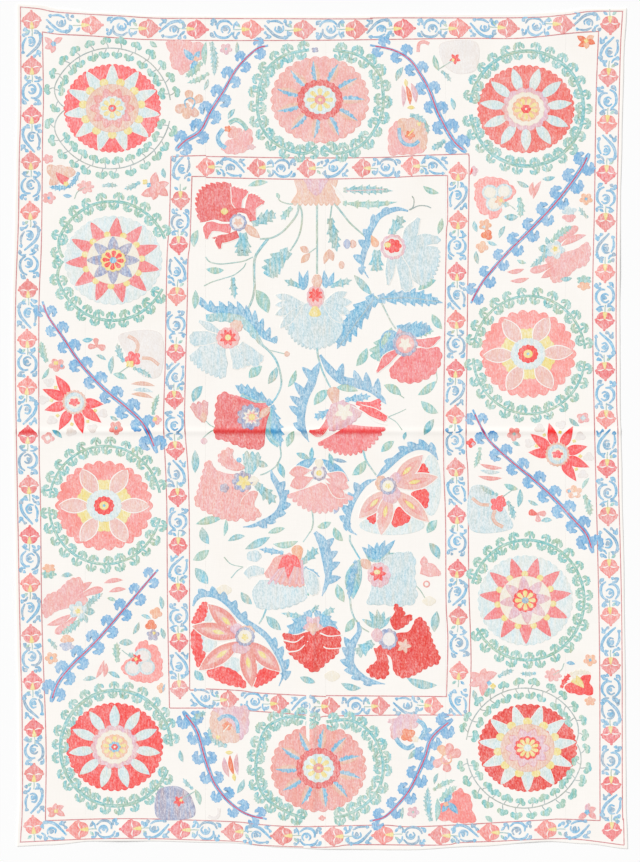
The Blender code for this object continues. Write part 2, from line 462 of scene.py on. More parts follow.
def starred(points, inner, start=0.0, bulge=0.0):
    """A star with straight or bulging sides between radius 1 and inner."""
    angle = np.linspace(0, 2 * np.pi, points * 6, endpoint=False)
    share = np.abs(((angle * points / (2 * np.pi)) % 1.0) * 2 - 1.0)
    radius = inner + (1 - inner) * share + bulge * np.sin(np.pi * share)
    return radius * np.exp(1j * (angle + math.pi / points + math.radians(start)))


def width_along(kind, s):
    """Half width at share s of a petal's length, at most 1. leaf: sin. flame: widest low down. club: grows
    to a round tip. arch: full at the base, then a pointed arch. ray: as a wedge that narrows slowly.
    sickle: fullest near a pointed tip."""
    if kind == "leaf":
        return np.sin(np.pi * s) ** 0.85
    if kind == "flame":
        return np.sin(np.pi * s**0.62) ** 0.9
    if kind == "club":
        return np.where(s < 0.7, (0.2 + 0.8 * s / 0.7) ** 0.7,
            np.sqrt(np.clip(1 - ((s - 0.7) / 0.3) ** 2, 0, 1)))
    if kind == "arch":
        return np.clip(1 - s**2.2, 0, 1) ** 0.8
    if kind == "ray":
        return (1 - s) ** 0.7
    return np.sin(np.pi * s**1.5) ** 0.9


def bent(base, tip, bend, s):
    """A line from base to tip, at shares s, that bows to its left by bend as a share of its length."""
    reach = tip - base
    return base + reach * s + 1j * reach * bend * np.sin(np.pi * s)


def petal(dye, base, tip, width, bend=0.0, kind="leaf", teeth=0, sides="both", layer=0, follow=False,
          n=15, halo=0.0, tone=None):
    """A petal or leaf: a ribbon on a bent line, as wide as its kind says. A toothed leaf is narrower, and
    has spikes on one side or both that lean to its tip."""
    s = 0.5 - 0.5 * np.cos(np.linspace(0, np.pi, n))
    spine = bent(base, tip, bend, s)
    half = np.maximum(width / 2 * width_along(kind, s), 0.05)
    tone = rng.uniform(-TONE_SPREAD, TONE_SPREAD) if tone is None else tone
    if halo:
        ribbon("cotton_white", spine, half + halo, layer=layer - 0.22, follow=follow)
    narrow = {"left": 0.62 if teeth and sides != "right" else 1.0,
        "right": 0.62 if teeth and sides != "left" else 1.0}
    ribbon(dye, spine, half * narrow["left"], half * narrow["right"], layer=layer, follow=follow, tone=tone)
    for number in range(teeth):
        share = (number + 0.15) / (teeth + 0.3)
        root, heading = heading_at(spine, share * along(spine)[-1], 0.05 * along(spine)[-1])
        reach = width * (0.16 + 0.52 * width_along(kind, share + 0.1))
        for side, name in ((1, "left"), (-1, "right")):
            if sides in ("both", name):
                spike = root + reach * heading * np.exp(1j * side * math.radians(47))
                petal(dye, root, spike, min(0.42 * width, 1.5 * abs(tip - base) / teeth), -0.12 * side,
                    "arch",
                      layer=layer, n=6, tone=tone)


def fan(dye, at, facing, spread, radius, lobes, depth=0.06, layer=0, hook=0.12, tone=None):
    """A pleated flower seen from the side: a sector from facing - spread to facing + spread, with lobes on
    its rim. Its two corners reach out by hook, and its sides are hollow."""
    share = np.linspace(-1, 1, lobes * 5 + 1)
    edge = radius * (1 - depth + depth * np.abs(np.sin(np.pi * (share + 1) / 2 * lobes)) + hook * share**6)
    rim = edge * np.exp(1j * share * math.radians(spread))
    side = curve([rim[-1], 0.5 * radius * np.exp(0.86j * math.radians(spread)), 0.12 * radius], 8)[1:]
    outline = np.concatenate([rim, side, np.conj(side[::-1])[1:]])
    patch(dye, put(outline, at, facing), layer, centre=put(np.array(radius * 0.5), at, facing), tone=tone)


def stem(dye, points, width, layer=0, n=None, taper=1.0):
    """A line of stitches through a few points, tapered towards its end if taper is under 1."""
    line = curve(points, n or max(8, 6 * len(points)))
    ribbon(dye, line, width / 2 * np.linspace(1, taper, len(line)), layer=layer)


def spaced(rows, where):
    """Values at even places, read at shares from 0 to 1 with an eased curve."""
    return smooth_table(list(zip(np.linspace(0, 1, len(rows)), rows)), where)


def frill(dye, layer, *rows, lobes=0, depth=1.3, bulge=0.0, sides=(0, 0), halo=0.0, tone=None):
    """A broad petal through rows of (x, y, width). A point at share s along it and u across, from -1 on
    its right to 1, lies u half widths from the spine. Its end is pushed on by s^3 times the sum of
    bulge (1 - u^2) and depth |sin(pi lobes (u + 1) / 2)|, and its sides swell in the same way."""
    if halo:
        wide = [(x, y, width + 2 * halo) for x, y, width in rows]
        frill("cotton_white", layer - 0.3, *wide, lobes=lobes, depth=depth, bulge=bulge + halo, sides=sides)
    x, y, width = (np.array(column, float) for column in zip(*rows))
    line = curve(x - 1j * y, 60)
    length = along(line)[-1]
    step = FINE_PX if np.any(on_fold(line, width.max() / 2)) else 3.0
    shoulder, outline = SHOULDER_PX / length, OUTLINE_PX / length
    count = max(5, math.ceil(length / step), max(sides) * 5)
    s = np.concatenate([[0.0, shoulder], np.linspace(outline, 1 - outline, count), [1 - shoulder, 1.0]])
    spine = at_runs(line, s * length)
    heading = np.gradient(spine)
    heading = (heading / np.abs(heading))[:, None]
    half = spaced(width / 2, s)[:, None]
    across = np.linspace(-1, 1, max(lobes * 5 + 1, math.ceil(width.max() / (2 * step)) + 2))
    swell = [depth * (np.abs(np.sin(np.pi * teeth * s[:, None])) - 0.5) if teeth else 0.0 for teeth in sides]

    def inset(u, by):
        wide = np.maximum(half + np.where(u > 0, swell[0], swell[1]), 0.3)
        return u * wide * np.maximum(1 - by / wide, 0.5)

    rim, edge = np.array((-1.0, 1.0)), np.zeros((len(s), 1))
    outer, near, inner = inset(rim, 0.0), inset(rim, SHOULDER_PX), inset(across, OUTLINE_PX)
    reach = np.concatenate([outer[:, :1], near[:, :1], inner, near[:, 1:], outer[:, 1:]], axis=1)
    u = np.concatenate([rim[:1], rim[:1], across, rim[1:], rim[1:]])
    tip = bulge * (1 - u**2) + depth * np.abs(np.sin(np.pi * lobes * (u + 1) / 2))
    plan = spine[:, None] + 1j * heading * reach + heading * s[:, None] ** 3 * tip
    height = np.full(plan.shape, top_of(layer))
    height[[0, -1]] = height[:, [0, -1]] = -SINK
    shade = np.zeros(plan.shape) + edge
    shade[[0, 1, -2, -1]] = shade[:, [0, 1, -2, -1]] = 1.0
    pad(dye, plan, height, None, tone, shade)


# %% Small words of the pattern
def leaf(dye, layer, x, y, tip_x, tip_y, width, teeth=0, **how):
    """A petal between two pixels."""
    petal(dye, spot(x, y), spot(tip_x, tip_y), width, teeth=teeth, layer=layer, **how)


def stroke(dye, layer, width, *pixels, taper=1.0):
    """A line of stitches through some pixels."""
    stem(dye, spots(pixels), width, layer, taper=taper)


def button(dye, layer, x, y, radius_x, radius_y=None, lobes=0, depth=0.12):
    """A round or lobed spot of stitches."""
    shape = rounded(lobes, depth, 6, 20)
    patch(dye, spot(x, y) + shape.real * radius_x + 1j * shape.imag * (radius_y or radius_x), layer, tone=0)


def star(dye, layer, x, y, radius, points=5, inner=0.5, start=90.0):
    patch(dye, spot(x, y) + radius * starred(points, inner, start), layer, tone=0)


def lobed(outline, lobes, depth=1.3, root=None):
    """A closed outline with scallops that stand out from it, the more the farther they are from the root."""
    outline = turned_left(outline)
    share = along(np.append(outline, outline[0]))
    outward = -1j * np.gradient(outline)
    swell = depth * np.abs(np.sin(np.pi * lobes * share[:-1] / share[-1]))
    if root is not None:
        far = np.abs(outline - root)
        swell = swell * np.clip(2.2 * far / far.max() - 0.9, 0, 1)
    return outline + outward / np.maximum(np.abs(outward), 1e-9) * swell


def barbed(dye, line, widths, tips, barb=9.0, lean=3, layer=0.5):
    """A tapering ribbon, as wide at even places as widths says, with a thorn to each of some pixels."""
    spine = curve(spots(line), 6 * len(line))
    width = spaced(np.array(widths), np.linspace(0, 1, len(spine)))
    ribbon(dye, spine, width / 2, layer=layer, follow=False)
    for tip in spots(tips):
        root = spine[min(len(spine) - 2, int(np.argmin(np.abs(spine - tip))) + lean)]
        petal(dye, root, tip, barb, kind="arch", n=6, layer=layer)


print("ways of stitching: patch, ribbon, petal, fan, stem, frill, leaf, button, star, barbed")

# %% [markdown]
# ## Borders
# A red line runs on both sides of each border band. The outer band goes round the cloth and the inner one
# round the field. Their lines waver, since the pattern was drawn by hand before the strips were parted for
# stitching. Each band holds palmettes and scrolls by turns, set midway between its two lines.

# %% The red lines
ACROSS = {  # rows of (x, y)
    "outer_top": ((20, 7), (40, 9), (60, 12.5), (120, 16), (155, 18.2), (200, 18.5), (360, 19), (380, 18),
        (520, 17.8), (565, 15), (590, 11.5), (623, 11.3)),
    "second_top": ((42, 32), (60, 34.5), (90, 36), (160, 40), (300, 40.5), (460, 38.5), (520, 38.3),
        (575, 33), (599, 31.5)),
    "outer_bottom": ((20, 842), (100, 838.5), (150, 838.5), (200, 840), (240, 841.5), (260, 845),
        (310, 847), (335, 846.5), (355, 844.5), (440, 845), (460, 842.5), (500, 841), (540, 839),
        (575, 839), (624, 845)),
    "second_bottom": ((45, 820.5), (130, 818.5), (230, 821.5), (260, 824.5), (300, 826.5), (380, 825),
        (420, 826.5), (540, 820), (560, 819), (600, 820.5)),
    "frame_top_left": ((171, 156.5), (206, 155.5)),
    "frame_top": ((206, 156.5), (300, 158), (380, 157.5), (420, 155.5), (469, 154)),
    "field_top_left": ((191.5, 176.5), (206, 176.5)),
    "field_top": ((206, 177.5), (300, 179.3), (380, 178), (420, 176), (447.5, 175.5)),
    "field_bottom_left": ((190, 690), (206, 690)),
    "field_bottom": ((206, 688.8), (240, 690.5), (260, 693), (326, 696.5)),
    "field_bottom_right": ((326, 695.5), (447, 696.5)),
    "frame_bottom_left": ((170, 708), (206, 708)),
    "frame_bottom": ((206, 707.5), (300, 714.5), (320, 717), (330, 716), (400, 715), (469.5, 715)),
}
DOWN = {  # rows of (y, x)
    "outer_left": ((7, 20.5), (100, 21), (160, 19.3), (220, 18.5), (300, 15.7), (380, 15.5), (640, 20.3),
        (700, 22), (800, 22.5), (842, 20.5)),
    "second_left": ((32, 42.5), (100, 43.5), (130, 42.7), (240, 41.5), (310, 39), (450, 39.2),
        (500, 40.5), (620, 42), (740, 46), (820, 45.5)),
    "outer_right": ((11.3, 622.5), (60, 620), (200, 617), (300, 616), (400, 616.5), (430, 617.8),
        (480, 618.3), (620, 621.7), (800, 622.3), (820, 623.5), (845, 624)),
    "second_right": ((31.5, 598.5), (100, 596), (200, 594.5), (340, 592.7), (620, 599), (820.5, 600)),
    "frame_left": ((156.5, 171), (220, 169.5), (260, 167), (360, 165.3), (400, 164), (430, 163.8),
        (500, 166.7), (600, 167.5), (708, 169.5)),
    "field_left": ((176.5, 192), (240, 190), (260, 188), (300, 187.3), (400, 184.8), (430, 185),
        (500, 189), (690, 189.7)),
    "frame_right": ((154, 468.5), (180, 469), (400, 466.3), (450, 466.3), (480, 468), (580, 468.7),
        (660, 471), (715, 469)),
    "field_right": ((175.5, 447.5), (220, 447.5), (250, 446), (440, 443.5), (520, 445.5), (600, 446),
        (640, 447.8), (696.5, 446.5)),
}
LINE_WIDTH, LINE_STEP = 1.15, 6.0

for rows in ACROSS.values():
    span = rows[-1][0] - rows[0][0]
    stem("line_red", spots(rows), LINE_WIDTH, n=max(4, round(span / LINE_STEP)))
for rows in DOWN.values():
    span = rows[-1][0] - rows[0][0]
    stem("line_red", spots([(x, y) for y, x in rows]), LINE_WIDTH, n=round(span / LINE_STEP))
print(len(ACROSS) + len(DOWN), "border lines")


# %% Palmettes and scrolls
def xy(*pairs):
    """A motif's own points, given as (right, forward) pairs in pixels."""
    return np.array([complex(*pair) for pair in pairs])


def mirrored(half):
    """A whole outline from its right half, which starts and ends on the middle line."""
    return np.concatenate([half, -np.conj(half[::-1])[1:-1]])


PALMETTE = curve(mirrored(xy(
    (0, 0.9), (1.8, 0.1), (4.8, 0.9), (7.1, 3.6), (7.9, 6.6), (9.5, 8.3), (8.4, 10.4), (6.8, 12.6),
    (5.2, 13.3), (4.2, 15.1), (2.0, 16.0), (0, 18.6),
)), 90, closed=True)
PALMETTE_MIDDLE = 9.0j
WEDGE = curve(xy((-2, 0.2), (2, 0.2), (1.6, 4), (0, 7.8), (-1.6, 4)), 16, closed=True)
SLIT = curve(xy((0.8, 6.9), (4.2, 8.3), (7.6, 7.7)), 8)


def palmette(at, turn, size, length, dye):
    """A red flower seen from the side, pointing forward: a lobed bell, a white slit on each side of its
    yellow heart, two leaflets and a short stalk. The length stretches it forward."""
    base = at - size * length * np.exp(1j * math.radians(turn)) * PALMETTE_MIDDLE

    def here(shape, flip=False):
        return put(shape.real + 1j * length * shape.imag, base, turn, size, flip)

    patch(dye, lobed(here(PALMETTE), 15, 1.1, base), 0, centre=here(np.array(8.5j)))
    patch("yellow", here(WEDGE), 0.6)
    for flip in (False, True):
        ribbon("cotton_white", here(SLIT, flip), 0.85 * size * np.sin(np.pi * np.linspace(0.1, 0.98, 8)),
            layer=0.4)
        foot, end = here(xy((2.2, -1.2), (6.4, -4.6)), flip)
        petal("leaf_green" if flip else "scroll_blue", foot, end, 3.2 * size, n=7)
    ribbon("stem_green", here(xy((0, 0.8), (0.3, -3), (0, -7.5))), 0.55 * size)


def blob(dye, at, size, tone=None, layer=0):
    """A small knot of stitches with a few soft lobes."""
    shape = scalloped(3, 0.3, 5, start=rng.uniform(0, 120))
    patch(dye, at + size / 2 * (shape.real * rng.uniform(0.8, 1.2) + 1j * shape.imag), layer, tone=tone)


SCROLLS = {  # kind: strokes as (half width, points), then knots as (right, forward, width)
    "round": (
        ((1.05, (-3.5, 7.8), (-7.6, 3.6), (-8.6, -2), (-7, -7.4), (-2.6, -10.4)),
         (1.05, (4.6, 7.6), (8.2, 2.6), (7.8, -3.6), (4, -7.2), (-0.6, -7)),
         (0.9, (-4, 3.6), (-0.6, 5.4), (2.8, 3), (2.6, -1.2), (-0.8, -3), (-3.6, -1.2)),
         (0.75, (-8.8, 11.6), (-5.6, 9.2), (-1.6, 9.6)), (0.75, (1.2, 9), (5, 9.4), (9, 11.8)),
         (0.9, (-8.6, -8.6), (-7.4, -12.8), (-4.2, -13.4)), (0.9, (3.2, -9.4), (7.4, -9.4), (9, -13))),
        ((0.2, 0.8, 4.2), (-7.4, 12.4, 3.8), (6, 12.2, 4), (7.8, -11.6, 4.6), (4.2, -12.8, 3.2),
         (-6.2, -12.2, 3.8), (-3.8, 7.8, 3.4)),
    ),
    "long": (
        ((1.15, (6.8, 9.6), (8.4, 4), (6.2, -2.6), (2, -7.4), (-4.4, -13.6)),
         (0.95, (-5.4, 5), (-8.2, -1), (-8, -8)), (0.9, (-3.8, 5), (0.4, 5.2), (2.8, 1.4), (0.8, -2.8),
             (-2.8, -2.2)),
         (0.85, (-9, 8.2), (-4.8, 8.2), (-2.4, 11.6)), (0.85, (1.6, 9.4), (5.2, 10.6), (9.2, 9)),
         (0.9, (3.6, -12.8), (7, -9.4), (9, -13))),
        ((-6.8, 12.6, 3.8), (-8, 7.2, 4), (4.4, 10.8, 4.2), (8.4, 6.8, 4.2), (-0.8, 1.4, 4.8),
            (7.2, -8.8, 4.4),
         (3.2, -12.8, 3.2), (-7.8, -9.6, 3.6)),
    ),
}


def scroll(at, turn, kind, size=1.0, flip=False):
    """Blue scrollwork between two palmettes: strokes curling round a knot, and hooks in the corners."""
    turn += rng.uniform(-6, 6)
    strokes, knots = SCROLLS[kind]
    for width, *points in strokes:
        line = put(curve(xy(*points), 4 * len(points)), at, turn, size, flip)
        dye = "scroll_blue" if rng.random() < 0.7 else "scroll_grey"
        swell = 0.65 + 0.45 * np.sin(np.pi * np.linspace(0, 1, len(line)))
        ribbon(dye, line, 1.25 * size * width * swell)
    for right, forward, width in knots:
        dye = "scroll_blue" if rng.random() < 0.65 else "scroll_grey"
        blob(dye, put(complex(right, forward), at, turn, size, flip), width * size * rng.uniform(1.05,
            1.25), layer=0.3)


# %% The bands' motifs
UP, RIGHT, DOWNWARD, LEFT = 0, -90, 180, 90
BANDS = (  # its two lines, facing, size, length, the palmettes' places, places of extra scrolls
    ("outer_top", "second_top", RIGHT, 1.0, 1.16, (92, 149, 197, 252, 304, 356, 404, 459, 508, 563),
        (60, 587)),
    ("outer_bottom", "second_bottom", LEFT, 1.0, 1.16, (78, 131, 180, 233, 282, 333, 383, 440, 489, 546),
        (53, 576)),
    ("outer_left", "second_left", UP, 1.03, 0.95,
     (20, 66, 115, 161, 211, 289, 339, 386, 435, 485, 535, 583, 634, 681, 728, 773, 825), ()),
    ("outer_right", "second_right", DOWNWARD, 1.03, 0.95,
     (25, 77, 124, 174, 222, 273, 321, 371, 419, 468, 516, 568, 616, 666, 735, 785, 831), ()),
    ("frame_left", "field_left", DOWNWARD, 0.97, 1.0,
     (200, 245, 296, 353, 399.5, 450, 497, 546, 592, 642, 689), (168,)),
    ("frame_right", "field_right", UP, 0.97, 1.0, (172, 220.5, 272, 320, 369, 415, 467.6, 515, 569, 616,
        671), (702,)),
    ("frame_top", "field_top", LEFT, 0.97, 1.0, (206, 257, 307, 362, 411), (434,)),
    ("frame_bottom", "field_bottom", RIGHT, 0.97, 1.0, (229, 279, 330, 380, 433), (204,)),
)
TWO_SCROLL_GAP = 65.0
PALMETTE_DYES = ("palmette_rose", "palmette_red", "palmette_coral")


def between_lines(names, where):
    """The pattern point midway between two border lines."""
    down = names[0] in DOWN
    middle = np.mean([np.interp(where, *zip(*(DOWN if down else ACROSS)[name])) for name in names])
    return spot(middle, where) if down else spot(where, middle)


motif_count = 0
for *lines, facing, size, length, places, scrolls in BANDS:
    scrolls = list(scrolls)
    for place in places:
        dye = PALMETTE_DYES[int(rng.integers(3))]
        palmette(between_lines(lines, place), facing + rng.uniform(-4, 4), size, length, dye)
    for low, high in zip(places, places[1:]):
        shares = (0.33, 0.68) if high - low > TWO_SCROLL_GAP else (0.5,)
        scrolls += [low + (high - low) * share for share in shares]
    for count, place in enumerate(sorted(scrolls)):
        kind = "round" if count % 2 else "long"
        scroll(between_lines(lines, place), facing, kind, size, flip=count % 4 > 1)
    motif_count += len(places) + len(scrolls)
print(motif_count, "border motifs")

# %% [markdown]
# ## Rosettes
# Ten round flowers stand in the space between the two borders, in five designs. Each is a stack of discs,
# stars and rays on one centre, so it is written in shares of its own radius, and one function sets those
# shares down on the oval that was really stitched.

# %% Parts of a rosette
def oval(x, y, radius_x, radius_y):
    """Sets a motif in shares of a radius down on an oval round the pixel (x, y)."""
    centre = spot(x, y)
    return lambda shape: centre + np.real(shape) * radius_x + 1j * np.imag(shape) * radius_y


def disc(dye, place, radius, layer, lobes=0, depth=0.08, n=48):
    patch(dye, place(radius * rounded(lobes, depth, 6, n)), layer, centre=place(0), tone=0)


def rays(dye, place, count, start, inner, outer, width, layer, kind="arch", halo=0.0):
    """Petals standing out from a centre, at equal turns."""
    for turn in start + np.arange(count) * 360.0 / count:
        s = np.linspace(0, 1, 11)
        side = inner + (outer - inner) * s
        spin = np.exp(1j * math.radians(turn))
        middle = place(spin * (inner + 0.4 * (outer - inner)))
        for colour, more, level in (("cotton_white", halo, layer - 0.3), (dye, 0, layer)):
            half = width / 2 * width_along(kind, s) + more
            outline = np.concatenate([side - 1j * half, (side + 1j * half)[::-1][1:-1]])
            if more or colour == dye:
                patch(colour, place(spin * outline), level, centre=middle, tone=0)


def dots(dye, place, count, start, radius, size, layer):
    """Small round pads on a circle, at equal turns."""
    for turn in start + np.arange(count) * 360.0 / count:
        spin = np.exp(1j * math.radians(turn))
        patch(dye, place(spin * (radius + size * scalloped(12, 0, 1))), layer, tone=0)


# %% The five designs
def rosette_rays(place, red, start, star, middle):
    """Eleven pale rays on red, a peach disc, a pointed star, and a small flower."""
    disc(red, place, 1.0, 0, lobes=46, depth=0.035)
    rays("pale_blue", place, 11, start, 0.50, 0.985, 0.31, 1, kind="ray", halo=0.012)
    dots("yellow", place, 11, start + 180 / 11, 0.595, 0.095, 1.5)
    disc("peach", place, 0.545, 2)
    patch("rose", place(0.47 * starred(10, 0.72, start=start, bulge=0.03)), 2.4, centre=place(0), tone=0)
    patch(star, place(0.455 * starred(10, 0.72, start=start, bulge=0.03)), 2.9, centre=place(0), tone=0)
    if middle == "yellow flower":
        disc("pale_blue", place, 0.285, 3.2, lobes=14, depth=0.1)
        rays("yellow", place, 8, start, 0.05, 0.235, 0.105, 3.8, kind="club")
        disc("bright_red", place, 0.085, 4.4, n=12)
        disc("sky", place, 0.035, 4.9, n=8)
    else:
        disc("bright_red", place, 0.275, 3.2, lobes=12, depth=0.12)
        rays("yellow", place, 10, start, 0.04, 0.235, 0.085, 3.8, kind="club")
        disc("pale_blue", place, 0.085, 4.4, n=12)


def rosette_leaves(place, red, start, middle):
    """Eleven pale leaves on red, a mauve scalloped disc, a cream one, and a yellow heart."""
    disc(red, place, 1.0, 0, lobes=42, depth=0.04)
    rays("pale_blue", place, 11, start, 0.36, 0.955, 0.215, 1, kind="leaf")
    disc("mauve", place, 0.50, 1.6, lobes=14, depth=0.1)
    disc("cream", place, 0.39, 2.2, lobes=14, depth=0.06)
    disc("orange", place, 0.29, 2.8, lobes=14, depth=0.08)
    rays("yellow", place, 9, start, 0.08, 0.25, 0.09, 3.3, kind="club")
    if middle == "red dot":
        disc("sky", place, 0.13, 3.8, lobes=7, depth=0.2)
    disc("bright_red", place, 0.105 if middle != "red dot" else 0.075, 4.2, lobes=6, depth=0.15)
    disc("cream", place, 0.03, 4.7, n=8)


def rosette_coral(place, start, star, ring, petals, heart):
    """Eleven coral rays on pale blue, a cream disc, an eight-pointed star, and a ringed flower."""
    disc("ice_blue", place, 1.0, 0, lobes=36, depth=0.03)
    rays("salmon", place, 11, start, 0.45, 0.965, 0.36, 1, kind="ray")
    dots("yellow", place, 11, start + 180 / 11, 0.58, 0.075, 1.5)
    disc("cream", place, 0.54, 2)
    rays(star, place, 8, start + 4.6, 0.20, 0.54, 0.235, 2.6)
    disc(ring, place, 0.265, 3.2, lobes=12, depth=0.1)
    rays(petals, place, 8, start, 0.05, 0.225, 0.10, 3.8, kind="club")
    disc(heart, place, 0.075, 4.4, n=12)


def rosette_six(place, red, start):
    """Six blush leaves on coral, six yellow blocks between them, and rings of blue, red and yellow."""
    disc(red, place, 1.0, 0, lobes=26, depth=0.075)
    for turn in start + 30 + np.arange(6) * 60.0:
        spin = np.exp(1j * math.radians(turn))
        block = xy((0.30, -0.12), (0.52, -0.165), (0.575, -0.08), (0.555, 0), (0.575, 0.08), (0.52, 0.165),
            (0.30, 0.12))
        patch("yellow", place(spin * curve(block, 26, closed=True)), 1, tone=0)
    rays("ray_blush", place, 6, start, 0.28, 0.93, 0.30, 1.7, kind="leaf", halo=0.024)
    disc("ice_blue", place, 0.365, 2.6, lobes=18, depth=0.04)
    disc("bright_red", place, 0.215, 3.2, lobes=12, depth=0.1)
    disc("yellow", place, 0.10, 3.8, n=14)
    disc("sky", place, 0.035, 4.3, n=8)


def rosette_split(place, pink, start):
    """Eleven leaves on pink, each half blue and half peach, then rings and a yellow flower."""
    disc(pink, place, 1.0, 0, lobes=30, depth=0.05)
    for turn in start + np.arange(11) * 360.0 / 11:
        spin = np.exp(1j * math.radians(turn))
        s = np.linspace(0, 1, 22)
        spine = place(spin * (0.40 + 0.50 * s))
        half = np.maximum(4.6 * np.sin(np.pi * s**0.8) ** 0.8, 0.1)
        ribbon("sky", spine, half * (0.7 + 0.4 * (4 * s % 1.0)), np.full(22, 0.1), layer=1, follow=False)
        ribbon("peach", spine, np.full(22, 0.1), half * 0.9, layer=1, follow=False)
    disc("ring_rose", place, 0.47, 1.7, lobes=20, depth=0.06)
    disc("ice_blue", place, 0.335, 2.3, lobes=14, depth=0.07)
    rays("yellow", place, 8, start, 0.06, 0.27, 0.105, 2.9, kind="club")
    disc("rose", place, 0.115, 3.5, n=14)
    disc("yellow", place, 0.045, 4.0, n=8)


rosette_rays(oval(112.3, 108.4, 49.0, 44.6), "light_red", 90, "star_pink", "yellow flower")
rosette_rays(oval(527.5, 747.8, 49.9, 44.3), "strong_red", 270, "mauve", "red ring")
rosette_leaves(oval(525.9, 109.1, 49.0, 44.4), "warm_red", 270, "red disc")
rosette_leaves(oval(114.7, 746.8, 48.9, 44.6), "bright_red", 90, "red dot")
rosette_coral(oval(113.2, 260.3, 49.4, 44.9), 85.4, "lilac", "yellow", "bright_red", "sky")
rosette_coral(oval(525.2, 600.3, 48.0, 45.5), 271, "mauve", "bright_red", "yellow", "scroll_grey")
rosette_six(oval(104.1, 505.6, 49.1, 45.3), "coral_pink", 0)
rosette_six(oval(528.0, 353.9, 48.5, 44.4), "coral_rose", 3)
rosette_split(oval(320.0, 99.9, 49.9, 44.0), "blush", 0)
rosette_split(oval(318.5, 768.0, 48.4, 44.4), "rose", 83)
print("ten rosettes")

# %% [markdown]
# ## Garlands
# A stem circles each rosette and bears buds on both sides, each a small three-lobed cap on a stalk. Most
# circles stay open at one place, where the stem's ends curl in or a sprout fills the gap.

# %% Buds on a stem
BUDS = {  # right half of a bud's outline, from the middle of its foot to the middle of its top
    "frilled": ((0, 0), (1.4, 0.3), (3.2, -0.9), (5.4, 0.3), (5.7, 2.8), (4.2, 4.4), (2.8, 4.6), (1.6, 6.2),
        (0, 6.3)),
    "hooked": ((0, 0.4), (1.0, 0.6), (1.3, 2.0), (2.7, 1.2), (3.6, -1.6), (5.0, -2.0), (6.0, 0.2), (5.2, 3.0),
               (3.4, 3.8), (2.6, 5.6), (1.1, 4.9), (0, 5.8)),
}
BUD_GAP = 14.0


def garland(line, dye, stem_dye, width, size=1.0, middle=0, clear=0):
    """A stem with buds every BUD_GAP pixels on its left and right, on stalks that curve along it. None
    stands nearer to the middle than clear."""
    ribbon(stem_dye, line, width / 2)
    thin = width < 2
    shape = curve(mirrored(xy(*BUDS["frilled" if thin else "hooked"])), 24 if thin else 32, closed=True)
    run = along(line)
    count = max(1, round(run[-1] / BUD_GAP))
    for where in (np.arange(count) + 0.5) * run[-1] / count:
        for side, reach in ((1, 8.8 + thin), (-1, 9.8 + thin)):
            place = where + side * 1.2 + rng.uniform(-1.2, 1.2)
            root, heading = heading_at(line, place)
            outward = 1j * side * heading * np.exp(-1j * side * math.radians(rng.uniform(-6, 20)))
            foot = root + outward * (reach - 5.6)
            if abs(foot - middle) < clear:
                continue
            bow = (1.1 if thin else 0.4) * heading
            stalk = curve([root - 1.2 * heading, (root + foot) / 2 - bow, foot + 0.6 * outward], 7)
            ribbon(stem_dye, stalk, 0.55 if thin else 1.2 * size)
            turn, grown = math.degrees(np.angle(outward)) - 90 + rng.uniform(-12,
                12), size * rng.uniform(0.95, 1.12)
            patch(dye, put(shape, foot, turn, grown), 0.4, centre=put(np.array(2.6j), foot, turn, grown))


def arc(x, y, radius_x, radius_y, start, end, curl, n=64):
    """Part of an oval from one angle to another, in degrees turned anticlockwise. Its last seventh curls
    inwards by a share of the radius."""
    share = np.linspace(0, 1, n)
    angle = np.radians(start + (end - start) * share)
    drawn = 1 - curl * np.clip(7 * share - 6, 0, 1) ** 2
    return spot(x, y) + drawn * (radius_x * np.cos(angle) + 1j * radius_y * np.sin(angle))


GARLANDS = (  # x, y, radius along x, radius along y, start, end, curl, bud dye, stem dye, stem width
    (110.6, 108.5, 60.3, 60.3, 348, 182, 0.24, "garland_teal", "stem_grey", 1.3),
    (110.6, 108.5, 60.3, 60.3, 8, 179, 0.24, "garland_teal", "stem_grey", 1.3),
    (524.4, 748.0, 58.6, 60.0, 172, 8, 0.10, "garland_teal", "stem_grey", 1.3),
    (524.4, 748.0, 58.6, 60.0, 190, 364, 0.10, "garland_teal", "stem_grey", 1.3),
    (527.0, 108.6, 56.5, 57.5, 186, 534, 0, "garland_blue", "garland_blue", 3.8),
    (116.0, 748.0, 55.5, 57.8, 2, 338, 0, "garland_blue", "garland_blue", 3.8),
    (112.0, 261.0, 57.0, 59.5, 22, 176, 0.14, "garland_teal", "garland_teal", 3.2),
    (112.0, 261.0, 57.0, 59.5, 332, 180, 0.14, "garland_teal", "garland_teal", 3.2),
    (527.0, 600.0, 57.0, 60.0, 208, 524, 0, "garland_teal", "garland_teal", 3.2),
    (105.0, 505.0, 56.0, 59.0, 12, 173, 0, "garland_sage", "garland_sage", 2.8),
    (105.0, 505.0, 56.0, 59.0, 182, 347, 0, "garland_sage", "garland_sage", 2.8),
    (529.0, 355.0, 56.0, 59.0, 6, 173, 0, "garland_sage", "garland_sage", 2.8),
    (529.0, 355.0, 56.0, 59.0, 183, 354, 0, "garland_sage", "garland_sage", 2.8),
)
